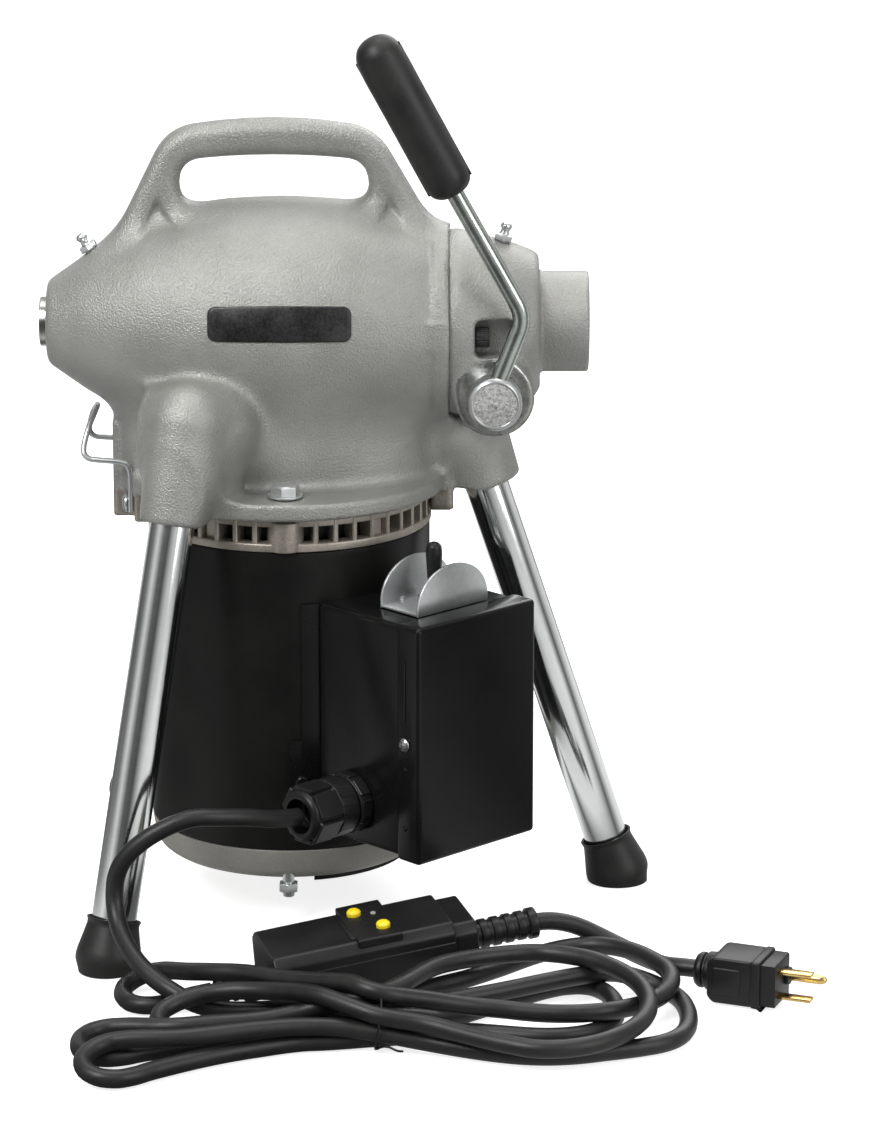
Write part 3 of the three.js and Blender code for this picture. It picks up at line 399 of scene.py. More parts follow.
def plate(outline, thickness, soft=0.5, steps=2):
    """An outline in the first two axes, pushed along the third and centred there, with its edges eased."""
    shape = bmesh.new()
    low = [shape.verts.new((x, y, -thickness / 2)) for x, y in outline]
    high = [shape.verts.new((x, y, thickness / 2)) for x, y in outline]
    shape.faces.new(reversed(low))
    shape.faces.new(high)
    for i in range(len(low)):
        j = (i + 1) % len(low)
        shape.faces.new((low[i], low[j], high[j], high[i]))
    bmesh.ops.recalc_face_normals(shape, faces=shape.faces)
    if soft > 0:
        ease_edges(shape, [e for e in shape.edges if e.verts[0].co.z == e.verts[1].co.z], soft, steps)
    return take(shape)


def hexagon(radius, phase=0.0):
    angles = [phase + math.tau * i / 6 for i in range(6)]
    return [(radius * math.cos(angle), radius * math.sin(angle)) for angle in angles]


def cut_with(obj, *cutters):
    """Takes the cutters' space out of a piece for good."""
    for cutter in cutters:
        tool = new_object("cutter", new_mesh("cutter", *cutter))
        modifier = obj.modifiers.new("cut", "BOOLEAN")
        modifier.operation = "DIFFERENCE"
        modifier.solver = "EXACT"
        modifier.use_self = True
        modifier.object = tool
        bpy.context.view_layer.update()
        result = bpy.data.meshes.new_from_object(obj.evaluated_get(bpy.context.evaluated_depsgraph_get()))
        obj.modifiers.clear()
        obj.data = result
        bpy.data.objects.remove(tool)
    tidy_mesh(obj.data, CREASE)
    return obj


# ------------------------------------------------------------------ castings, from distance fields
def blend(a, b, k):
    """The union of two fields, with a fillet about k wide where they meet."""
    h = np.maximum(k - np.abs(a - b), 0) / k
    return np.minimum(a, b) - h * h * k / 4


def trim(a, b, k=1.2):
    """Where both fields are solid, with the edge between them eased."""
    return -blend(-a, -b, k)


def less(a, b, k=1.2):
    return trim(a, -b, k)


def box_field(x, y, z, low, high, soft):
    q = [np.abs(v - (a + b) / 2) - (b - a) / 2 + soft for v, a, b in zip((x, y, z), low, high)]
    outside = sum(np.maximum(v, 0) ** 2 for v in q) ** 0.5
    return outside + np.minimum(np.maximum(np.maximum(q[0], q[1]), q[2]), 0) - soft


def rod_field(x, y, z, a, b, radius, end_radius=None, round_end=False, k=1.2):
    """A straight or tapered rod from a to b, with flat ends or with a round one at b."""
    end_radius = radius if end_radius is None else end_radius
    a, b = Vector(a), Vector(b)
    length = (b - a).length
    u = (b - a) / length
    along = (x - a.x) * u.x + (y - a.y) * u.y + (z - a.z) * u.z
    held = np.clip(along, 0, length)
    away = ((x - a.x - held * u.x) ** 2 + (y - a.y - held * u.y) ** 2 + (z - a.z - held * u.z) ** 2) ** 0.5
    side = away - radius - (end_radius - radius) * held / length
    if round_end:
        return trim(side, -along, k)
    flat = ((x - a.x - along * u.x) ** 2 + (y - a.y - along * u.y) ** 2 + (z - a.z - along * u.z) ** 2) ** 0.5
    side = flat - radius - (end_radius - radius) * held / length
    return trim(side, np.abs(along - length / 2) - length / 2, k)


def oval_field(x, y, centre, a, b):
    across = np.maximum((((x - centre) / a) ** 2 + (y / b) ** 2) ** 0.5, 1e-3)
    steep = np.maximum((((x - centre) / a ** 2) ** 2 + (y / b ** 2) ** 2) ** 0.5, 1e-6)
    return across * (across - 1) / steep


def outline_field(x, z, corners):
    """Signed distance to a closed outline, negative inside."""
    nearest, inside = None, None
    for (ax, az), (bx, bz) in zip(corners, [*corners[1:], corners[0]]):
        ex, ez = bx - ax, bz - az
        t = np.clip(((x - ax) * ex + (z - az) * ez) / (ex * ex + ez * ez), 0, 1)
        far = (x - ax - t * ex) ** 2 + (z - az - t * ez) ** 2
        crosses = ((az > z) != (bz > z)) & (x < ax + (z - az) * ex / (ez if ez else 1e-9))
        nearest = far if nearest is None else np.minimum(nearest, far)
        inside = crosses if inside is None else inside ^ crosses
    return np.where(inside, -1.0, 1.0) * np.sqrt(nearest)


def turned_field(x, rho, profile, ease=5.0):
    """Distance to a surface turned about the spindle, from its (x, radius) profile with its corners eased."""
    xs, rs = zip(*profile)
    station = np.linspace(xs[0] - 12, xs[-1] + 12, 400)
    radius = np.interp(station, xs, rs)
    pitch = station[1] - station[0]
    width = max(1, int(ease / pitch))
    window = np.ones(2 * width + 1) / (2 * width + 1)
    smooth = np.convolve(np.pad(radius, width, mode="edge"), window, "valid")
    slope = np.gradient(smooth, station)
    return (rho - np.interp(x, station, smooth)) / np.sqrt(1 + np.interp(x, station, slope) ** 2)


SLOPE_REACH = 0.05
SETTLING_STEPS = 3


def surface_of(field, low, high, step):
    """Points and faces round the space where the field is negative, one point in each cell it crosses."""
    lines = [np.arange(a, b + step, step) for a, b in zip(low, high)]
    values = field(lines[0][:, None, None], lines[1][None, :, None], lines[2][None, None, :])
    inside = values < 0
    cells = np.array(values.shape)
    owners, places, quads = [], [], []
    for axis in range(3):
        first = [slice(None)] * 3
        first[axis] = slice(0, -1)
        second = [slice(None)] * 3
        second[axis] = slice(1, None)
        starts = np.argwhere(inside[tuple(first)] != inside[tuple(second)])
        ends = starts.copy()
        ends[:, axis] += 1
        a, b = values[tuple(starts.T)], values[tuple(ends.T)]
        place = starts.astype(float)
        place[:, axis] += a / (a - b)
        u, v = (axis + 1) % 3, (axis + 2) % 3
        corners = []
        for du, dv in ((-1, -1), (0, -1), (0, 0), (-1, 0)):
            cell = starts.copy()
            cell[:, u] += du
            cell[:, v] += dv
            corners.append(np.ravel_multi_index(cell.T, cells))
            owners.append(corners[-1])
            places.append(place)
        quad = np.stack(corners, axis=1)
        outward = a < 0
        quads.append(np.where(outward[:, None], quad, quad[:, ::-1]))
    owners, places, quads = np.concatenate(owners), np.concatenate(places), np.concatenate(quads)
    names, index = np.unique(owners, return_inverse=True)
    count = np.bincount(index)
    points = np.stack([np.bincount(index, places[:, i]) / count for i in range(3)], axis=1)
    points = points * step + np.array([line[0] for line in lines])
    for _ in range(SETTLING_STEPS):
        p = points.T
        value = field(*p)
        nudges = [SLOPE_REACH * np.eye(3)[i][:, None] for i in range(3)]
        slope = np.stack([field(*(p + n)) - field(*(p - n)) for n in nudges], axis=1) / (2 * SLOPE_REACH)
        steep = np.maximum((slope ** 2).sum(axis=1), 0.25)
        points = points - slope * np.clip(value / steep, -0.6 * step, 0.6 * step)[:, None]
    return points, np.searchsorted(names, quads)


def field_piece(name, field, low, high, step, look):
    points, quads = surface_of(field, low, high, step)
    mesh = bpy.data.meshes.new(name)
    mesh.from_pydata(all_metres(points), [], quads.tolist())
    mesh.shade_smooth()
    return finish_piece(new_object(name, mesh), "machine", look)


CURVE_STEPS = 6


def bezier_outline(start, *pieces):
    """Corner points of an outline: a straight piece is one point, and a curved one is (control, end)."""
    out = [start]
    for piece in pieces:
        if isinstance(piece[0], tuple):
            (cx, cz), (ex, ez) = piece
            sx, sz = out[-1]
            for i in range(1, CURVE_STEPS + 1):
                t = i / CURVE_STEPS
                out.append((
                    (1 - t) ** 2 * sx + 2 * t * (1 - t) * cx + t * t * ex,
                    (1 - t) ** 2 * sz + 2 * t * (1 - t) * cz + t * t * ez))
        else:
            out.append(piece)
    return out


FLANGE_BOTTOM, FLANGE_TOP, FLANGE_RADIUS = 214, 222.5, 80
NOSE_X, SEAM_X, COLLAR_RADIUS = -121, 81.3, 25.4
LEG_RADIUS, LEG_GAP = 11.1, 0.3
# The tube stands this high above the floor, in its rubber foot.
FOOT_SEAT = 9
LEG_MOUTH_Z, LEG_MOUTH_RADIUS = 213, 100.8
LEGS = {"right": (0, (171.3, 0)), "front": (-123.4, (-88.3, -134.1)), "back": (123.4, (-88.3, 134.1))}
# Height of the socket boss's top, radius at its mouth, fillet to the case, and height of the socket's top.
LEG_BOSS = {"right": (238, 18.2, 9, 241), "front": (262, 16.3, 16, 260), "back": (262, 16.3, 16, 260)}
THROUGH_BOLT_Y, BOLT_SEAT, BOLT_TIP = 66, 223.9, 14.3
SEAM_SCREW_Y = 37


def leg_at(side, height):
    """The point of a leg's axis at this height above the floor."""
    turn, foot = math.radians(LEGS[side][0]), LEGS[side][1]
    mouth = Vector((LEG_MOUTH_RADIUS * math.cos(turn), LEG_MOUTH_RADIUS * math.sin(turn), LEG_MOUTH_Z))
    floor = Vector((*foot, 0))
    return floor + (mouth - floor) * height / LEG_MOUTH_Z


def leg_axis(side):
    return (leg_at(side, 100) - leg_at(side, 0)).normalized()


BARREL = [
    (-121, 20.5), (-99.5, 35.5), (-88, 41), (-72, 47.5), (-52, 54), (-28, 58.8), (0, 60.5), (28, 58.8),
    (50, 55), (68, 49.5), (75, 46.5), (81.3, 46.5),
]
BARREL_INSIDE = [
    (-110, 19.3), (-97, 19.3), (-84, 29), (-55, 43), (-20, 51), (30, 51), (58, 44), (64, 31.6), (82, 31.6),
]
# The lowest and highest corners of the tabs that stand out of the case under its flange.
CASE_TABS = [
    ((-88.5, -14, 200), (-72, 14, 250)), ((-77.4, -27, 200), (-64, 27, 226)),
    ((69, -14, 202.5), (83.8, 14, 226)),
]
BAND_RADIUS = 49
# The spaces in the case: rear bore, shaft room, seat of the clutch housing, lever boss and can.
REAR_BORE_RADIUS, SHAFT_ROOM_RADIUS, SEAT_RADIUS, BOSS_ROOM_RADIUS, CAN_ROOM_RADIUS = 13.1, 24, 48.2, 20.3, 73
GEAR_ROOM_ALONG, GEAR_ROOM_ACROSS = 60, 38
BOLT_SINK_RADIUS, BOLT_HOLE_RADIUS = 10, 3.4
DRUM_ALONG, DRUM_ACROSS = 82.5, 50
HANDLE = bezier_outline(
    (-93, 330), (-66, 384), ((-60, 396), (-47, 398.6)), ((-5, 405), (33, 398.6)), ((46, 396), (53, 383)),
    (78, 340), (60, 310), (-70, 310))
HANDLE_HOLE = bezier_outline(
    (-41, 357), ((-6, 360.5), (29, 357)), ((41.3, 357.5), (41.3, 369)), ((41, 381.5), (29, 382.2)),
    ((-6, 385.5), (-41, 382.2)), ((-53.4, 381.5), (-53.6, 369)), ((-53.5, 357.5), (-41, 357)))[:-1]


BAR_HALF, WEB_HALF = 9.2, 5.8
BAR_WIDTH, RECESS_WIDTH = 9.5, 3.5
HANDLE_EASE = 6.8


def handle_field(x, y, z):
    """A round bar along the outline, with a thinner web between it and the barrel."""
    flat = trim(outline_field(x, z, HANDLE), -outline_field(x, z, HANDLE_HOLE), 2)
    depth = np.clip((-flat - BAR_WIDTH) / RECESS_WIDTH, 0, 1)
    half = BAR_HALF - (BAR_HALF - WEB_HALF) * depth * depth * (3 - 2 * depth)
    across, out = flat + HANDLE_EASE, np.abs(y) - half + HANDLE_EASE
    outside = np.sqrt(np.maximum(across, 0) ** 2 + np.maximum(out, 0) ** 2)
    return outside + np.minimum(np.maximum(across, out), 0) - HANDLE_EASE


def about_spindle(y, z):
    return np.sqrt(y * y + (z - SPINDLE_Z) ** 2)


def gear_case_field(x, y, z):
    """The barrel, drum, flange, leg bosses, handle, shoulders and tabs, less all that they hold."""
    rho = about_spindle(y, z)
    radial = np.sqrt(x * x + y * y)
    barrel = trim(turned_field(x, rho, BARREL), NOSE_X - x, 4)
    band = trim(rho - BAND_RADIUS, np.abs(x - SEAM_X + 4) - 4, 0.8)
    barrel = blend(trim(barrel, x - SEAM_X, 0.8), band, 2)
    drum = trim(oval_field(x, y, -5, DRUM_ALONG, DRUM_ACROSS), np.abs(z - 253) - 39, 3)
    case = blend(barrel, drum, 12)
    flange = trim(radial - FLANGE_RADIUS, np.maximum(FLANGE_BOTTOM - z, z - FLANGE_TOP), 1.6)
    case = blend(case, flange, 6)
    for side in LEGS:
        top, mouth, fillet, _ = LEG_BOSS[side]
        boss = rod_field(x, y, z, leg_at(side, LEG_MOUTH_Z + 1), leg_at(side, top), mouth, 19.5, True, 2)
        inner = leg_at(side, LEG_MOUTH_Z + 24)
        root = inner * 0.55
        root.z = 246
        web = rod_field(x, y, z, inner, root, 14, 15, True, 1)
        case = blend(case, blend(boss, web, 14), fillet)
    for s in (-1, 1):
        y_bolt = s * THROUGH_BOLT_Y
        lug = rod_field(x, y, z, (0, y_bolt, FLANGE_BOTTOM), (0, y_bolt, FLANGE_TOP + 0.4), 12.5, k=1.5)
        case = blend(case, lug, 2)
        low, high = sorted((s * 30, s * 48.5))
        case = blend(case, box_field(x, y, z, (67.5, low, 292.5), (SEAM_X, high, 308), 1.5), 1.6)
    case = blend(case, handle_field(x, y, z), 13)
    for s in (-1, 1):
        shoulder = rod_field(x, y, z, (-68, s * 53, 255), (-34, s * 58, 257), 19.5, 17.5, True, 2)
        case = blend(case, shoulder, 12)
        below = rod_field(x, y, z, (-34, s * 57, 256), (-36, s * 60, 222), 16.5, 11, True, 2)
        case = blend(case, below, 7)
    case = np.maximum(case, FLANGE_BOTTOM - z)
    for low, high in CASE_TABS:
        case = blend(case, box_field(x, y, z, low, high, 1.2), 2)

    hollow = trim(turned_field(x, rho, BARREL_INSIDE, 2), -110.4 - x)
    hollow = np.minimum(hollow, trim(rho - REAR_BORE_RADIUS, x + 105))
    gear_room = oval_field(x, y, 0, GEAR_ROOM_ALONG, GEAR_ROOM_ACROSS)
    hollow = np.minimum(hollow, trim(gear_room, np.abs(z - 258) - 32))
    hollow = np.minimum(hollow, trim(radial - SHAFT_ROOM_RADIUS, np.abs(z - 226) - 14))
    case = less(case, hollow)
    for side in LEGS:
        bottom, top = leg_at(side, LEG_MOUTH_Z - 8), leg_at(side, LEG_BOSS[side][3])
        case = less(case, rod_field(x, y, z, bottom, top, LEG_RADIUS + LEG_GAP), 1.5)
    for s in (-1, 1):
        y_bolt = s * THROUGH_BOLT_Y
        case = less(case, rod_field(x, y, z, (0, y_bolt, 223.7), (0, y_bolt, 240), BOLT_SINK_RADIUS))
        case = less(case, rod_field(x, y, z, (0, y_bolt, 205), (0, y_bolt, 226), BOLT_HOLE_RADIUS))
    case = less(case, trim(rho - SEAT_RADIUS, SEAM_X - x, 0.3), 0.5)
    from_lever = np.sqrt((x - LEVER_X) ** 2 + (z - LEVER_Z) ** 2)
    case = less(case, trim(from_lever - BOSS_ROOM_RADIUS, y - 45), 1)
    return less(case, trim(radial - CAN_ROOM_RADIUS, z - FLANGE_BOTTOM), 1)


CLUTCH_SIDE = [(81.6, 46.6), (87, 46.8), (105, 42.2), (115, 39.3), (124.5, 35.5), (128, 32)]
# The rooms in the clutch housing, each from, to and radius.
CLUTCH_ROOMS = [(60, 84.3, 26.3), (80, 113.5, 24.5), (110, 146, 22.5), (140, 160, 12.5)]
SHELL_MIDDLE, SHELL_HALF = (SEAM_X - 0.6 + 126.7) / 2, 23
LEVER_BOSS_RADIUS, LEVER_BOSS_FACE = 19.8, -42
SPIGOT_RADIUS, LEVER_BORE_RADIUS, SCREW_BORE_RADIUS, POCKET_HALF = 31.2, 6.3, 3.3, 9.5


def clutch_housing_field(x, y, z):
    """The shell and collar round the clutch, with the lever's boss and the pockets of its screws."""
    rho = about_spindle(y, z)
    shell = trim(turned_field(x, rho, CLUTCH_SIDE, 1.6), np.abs(x - SHELL_MIDDLE) - SHELL_HALF, 0.8)
    shell = np.minimum(shell, trim(rho - SPIGOT_RADIUS, np.abs(x - 78) - 8))
    shell = blend(shell, trim(rho - COLLAR_RADIUS, np.abs(x - 130) - 21.9, 1.6), 2.5)
    boss = rod_field(
        x, y, z, (LEVER_X, LEVER_BOSS_FACE, LEVER_Z), (LEVER_X, -5, LEVER_Z), LEVER_BOSS_RADIUS, k=2)
    shell = blend(shell, boss, 7)
    shell = blend(shell, rod_field(x, y, z, (LEVER_X, 5, LEVER_Z), (LEVER_X, 37, LEVER_Z), 12, k=2), 5)
    shell = np.maximum(shell, 70 - x)
    for start, end, radius in CLUTCH_ROOMS:
        shell = less(shell, trim(rho - radius, np.abs(x - (start + end) / 2) - (end - start) / 2, 0.5), 0.8)
    bore = rod_field(x, y, z, (LEVER_X, -43, LEVER_Z), (LEVER_X, 32, LEVER_Z), LEVER_BORE_RADIUS)
    shell = less(shell, bore)
    shell = less(shell, box_field(x, y, z, (93, -6, 262), (115, 6, 284), 1))
    for s in (-1, 1):
        low, high = sorted((s * 31, s * 58))
        pocket = box_field(
            x, y, z, (94.2, low, SPINDLE_Z - POCKET_HALF), (113.4, high, SPINDLE_Z + POCKET_HALF), 3.5)
        shell = less(shell, pocket, 1.6)
        y_screw = s * SEAM_SCREW_Y
        hole = rod_field(x, y, z, (78, y_screw, SPINDLE_Z), (96, y_screw, SPINDLE_Z), SCREW_BORE_RADIUS)
        shell = less(shell, hole)
    return shell


BADGE_X, BADGE_TURN = -2.5, math.radians(11)


def badge_field(x, y, z):
    """A blank plate with rounded corners that follows the front of the barrel."""
    height = turned_field(x, about_spindle(y, z), BARREL)
    around = (np.arctan2(z - SPINDLE_Z, -y) - BADGE_TURN) * 60
    face = box_field(x - BADGE_X, around, 0 * x, (-35.5, -9, -50), (35.5, 9, 50), 4)
    return trim(trim(height - 1.0, -1.4 - height, 0.5), face, 0.8)


def face_centres(obj):
    """The middles of a piece's faces, in millimetres on the machine's axes."""
    centres = np.empty(len(obj.data.polygons) * 3)
    obj.data.polygons.foreach_get("center", centres)
    return centres.reshape(-1, 3) / MM - np.array([MOTOR_X, 0, 0])


def second_look(obj, look, chosen):
    """Gives the chosen faces a look of their own."""
    obj.data.materials.append(look)
    obj.data.polygons.foreach_set("material_index", chosen.astype(np.int32))


def add_castings():
    case = field_piece("gear_case_casting", gear_case_field, (-124, -106, 197), (127, 106, 406), 1.8, CAST)
    second_look(case, RAW, face_centres(case)[:, 2] < FLANGE_BOTTOM - 0.4)
    replacement(case, "cast_housing", "gear_case")
    housing = field_piece(
        "clutch_housing_casting", clutch_housing_field, (67, -50, 244), (155, 50, 348), 1.3, CAST)
    x, y, z = face_centres(housing).T
    on_boss = np.hypot(x - LEVER_X, z - LEVER_Z) < LEVER_BOSS_RADIUS + 0.7
    second_look(housing, TURNED, (y < LEVER_BOSS_FACE + 0.6) & on_boss)
    replacement(housing, "cast_housing", "clutch_housing")
    badge = field_piece("barrel_badge", badge_field, (-41, -64, 292), (36, -50, 324), 0.75, DARK_STEEL)


# ------------------------------------------------------------------ spindle, clutch and lever
def add_spindle():
    spindle_axis = (0, 0, SPINDLE_Z)
    tube_part = lathe(softened([
        (0, 9.3), (NOSE_X - 3.7, 9.3, 0.8), (NOSE_X - 3.7, 12.5, 0.8), (127, 12.5, 0.3), (130.5, 17.5, 0.6),
        (138.5, 17.5, 0.8), (138.5, 9.3, 0.6), (0, 9.3)], 0.6), AXIS_X, spindle_axis, 96)
    spindle = mesh_piece("spindle_tube", *tube_part, STEEL, "spindle")
    slots = []
    for number in range(3):
        turn = Matrix.Translation(spindle_axis) @ Matrix.Rotation(math.tau * number / 3, 4, "X")
        slots.append(moved(rounded_box(127.6, 139.5, -4.6, 4.6, 4, 24, 0.3, 1), turn))
        jaw_profile = softened([
            (128, 12), (128, 16.4), (137, 19.2), (137, 10.2), (128, 10.2), (128, 12)], 0.5)[:-1]
        block = moved(plate(jaw_profile, 8.4, 0.4), turn @ UPRIGHT)
        stand_in(
            f"clutch_jaw_block_{number + 1}", block, DARK_STEEL, "dark_steel", f"clutch_jaw_{number + 1}",
            f"jaw_{number + 1}")
    replacement(cut_with(spindle, *slots), "steel", "spindle")
    cone = lathe(softened([
        (109, 13), (107, 13), (107, 20), (111, 21.6), (124, 21.6), (124, 18.6), (117, 15), (113, 13),
        (109, 13)],
        0.5), AXIS_X, spindle_axis, 96)
    stand_in("clutch_cone_ring", cone, DARK_STEEL, "dark_steel", "clutch_cone", "clutch_cone")


LEVER_Y = -51
LEVER_ROD_RADIUS = 4.4
LEVER_START, LEVER_BEND = Vector((105.6, LEVER_Y, 278)), Vector((118.6, LEVER_Y, 311.5))
HUB_FACE = (LEVER_X, -57, LEVER_Z)
FINGER_TURN = math.radians(-22.5)
GRIP_START, GRIP_END = Vector((83.3, LEVER_Y, 374.7)), Vector((44.3, LEVER_Y, 446.5))


def add_lever():
    hub = lathe(softened([
        (1, 0), (1, 10.8), (0.2, 11, 0.2), (0, 11.8, 0.3), (1.5, 13.4, 0.4), (14.4, 13.4, 0.8),
        (14.4, 6, 0.4), (89, 6, 0.8), (89, 0)], 0.5), AXIS_Y, HUB_FACE, 96)
    finger = moved(rounded_box(-2.4, 2.4, -4.5, 4.5, 0, 10.4, 0.7), Matrix.Translation(
        (LEVER_X, 0, LEVER_Z)) @ Matrix.Rotation(FINGER_TURN, 4, "Y"))
    stand_in("lever_hub_body", joined(hub, finger), ZINC, "zinc_plate", "lever_hub", "lever")
    face = lathe(softened([
        (-0.5, 0), (-0.5, 0.9, 0.3), (0.3, 1.5, 0.3), (0.3, 10.9), (1.2, 10.9), (1.2, 0)], 0.2),
        AXIS_Y, HUB_FACE, 96)
    detail_piece("lever_hub_face", face, BLASTED, "lever")
    start, bend = LEVER_START, LEVER_BEND
    route = [start, start.lerp(bend, 0.35), start.lerp(bend, 0.72)]
    for i in range(1, 6):
        t = i / 6
        a, c = start.lerp(bend, 0.8), bend.lerp(GRIP_START, 0.12)
        route.append(a * (1 - t) ** 2 + bend * 2 * t * (1 - t) + c * t * t)
    route += [bend.lerp(GRIP_START, 0.2), bend.lerp(GRIP_START, 0.6)]
    route += [GRIP_START, GRIP_START.lerp(GRIP_END, 0.6)]
    rod_line = even_path(smooth_path(route, 10), 5)
    bar = tube("lever_rod_bar", rod_line, LEVER_ROD_RADIUS, YELLOW_ZINC, "lever", 12)
    replacement(bar, "zinc_plate", "lever_rod")
    axis = GRIP_END - GRIP_START
    length = axis.length
    grip = lathe(softened([
        (-2, 0), (-2, 4.4, 0.5), (-1.2, 7.4, 2), (1.5, 10.6, 3), (6, 11.8, 4), (length * 0.5, 12),
        (length - 12, 12.2, 5), (length - 3, 11.4, 5), (length + 2, 8.2, 4), (length + 4, 3.4, 2),
        (length + 4.2, 0)], 3, 5), axis, GRIP_START, 72)
    seam = rounded_box(-0.25, 0.25, -12.1, 12.1, 3, length - 4, 0.2, 1)
    seam = moved(seam, facing(GRIP_START, axis))
    stand_in("lever_grip_sleeve", joined(grip, seam), RUBBER, "black_rubber", "lever_grip", "lever")


def grease_fitting(name, place, axis, node):
    axis = Vector(axis).normalized()
    nipple = lathe(softened([
        (-4.5, 0), (-4.5, 2.9), (0.3, 2.9), (0.3, 3.2), (3.2, 3.2, 0.3), (3.6, 2.5), (5.6, 2.0, 0.5),
        (6.6, 2.7, 0.5), (7.6, 3.1, 0.6), (9.2, 2.2, 0.7), (9.5, 0.9, 0.2), (9.2, 0.6, 0.1),
        (9.1, 0)], 0.3), axis, place, 48)
    nut = moved(plate(hexagon(4.9), 3.0, 0.35), facing(Vector(place) + axis * 1.7, axis))
    stand_in(name, joined(nipple, nut), ZINC, "zinc_plate", node)


def knurled(start, end, radius, ridges, axis, origin, bore):
    """A socket screw's head with fine ridges along its side, and the hexagonal socket to cut from it."""
    turn = AXIS_Z.rotation_difference(Vector(axis))
    sides = ridges * 4
    verts, faces = [], []
    rings = [(start, 0.98), (start + 0.4, 1), (end - 1, 1), (end - 0.3, 0.94), (end, 0.88)]
    for along, scale in rings:
        for i in range(sides):
            r = radius * scale * (1 if i % 4 < 2 else 0.95)
            angle = math.tau * i / sides
            verts.append(turn @ Vector((r * math.cos(angle), r * math.sin(angle), along)) + Vector(origin))
    for level in range(len(rings) - 1):
        for i in range(sides):
            j = (i + 1) % sides
            low, high = level * sides, (level + 1) * sides
            faces.append((low + i, low + j, high + j, high + i))
    faces += [list(range(sides))[::-1], [(len(rings) - 1) * sides + i for i in range(sides)]]
    socket = moved(plate(hexagon(bore), 6, 0), facing(Vector(origin) + Vector(axis) * end, axis))
    return (verts, faces), socket


def add_screws():
    grease_fitting("rear_grease_nipple", (-98.9, 0, 335), (-0.56, 0, 0.83), "rear_grease_fitting")
    grease_fitting("front_grease_nipple", (108.5, 0, 339.6), (0.26, 0, 0.966), "front_grease_fitting")
    for side, s in FRONT_AND_BACK:
        place = (0, s * SEAM_SCREW_Y, SPINDLE_Z)
        head, socket = knurled(94.5, 101.5, 5.2, 24, AXIS_X, place, 2.6)
        screw = mesh_piece(f"clutch_screw_head_{side}", *head, DARK_STEEL, crease=50)
        cut_with(screw, socket)
        replacement(screw, "dark_steel", f"clutch_screw_{side}")
        shank = rod((68, *place[1:]), (94.8, *place[1:]), 3)
        detail_piece(f"clutch_screw_shank_{side}", shank, DARK_STEEL)
        y = s * THROUGH_BOLT_Y
        head = shifted(plate(hexagon(7.3, 0.3), 4.8, 0.5, 3), (0, y, BOLT_SEAT + 3.3))
        washer = lathe(softened([(0, 3), (0, 8.8), (1, 8.8), (1, 3)], 0.3), AXIS_Z, (0, y, BOLT_SEAT), 64)
        dome = lathe([(0, 5.6), (0.35, 5.2), (0.45, 0)], AXIS_Z, (0, y, BOLT_SEAT + 5.6), 48)
        shank = rod((0, y, BOLT_TIP), (0, y, 225), 3, soft=1)
        bolt = joined(head, washer, dome, shank)
        stand_in(f"through_bolt_body_{side}", bolt, ZINC, "zinc_plate", f"through_bolt_{side}")
        nut = shifted(plate(hexagon(5.2, 0.5), 4.6, 0.6, 3), (0, y, BOLT_TIP + 5.1))
        stand_in(f"through_bolt_hexagon_{side}", nut, ZINC, "zinc_plate", f"through_bolt_nut_{side}")


# ------------------------------------------------------------------ motor
CAN_RADIUS, CAN_BOTTOM, CAN_TOP = 71.8, 40.5, 196.2
BELL_BOTTOM = CAN_TOP + 0.3
BELL_RIBS = 44
COVER_RADIUS, COVER_HALF_ANGLE, COVER_STEP = 62, 78, 4


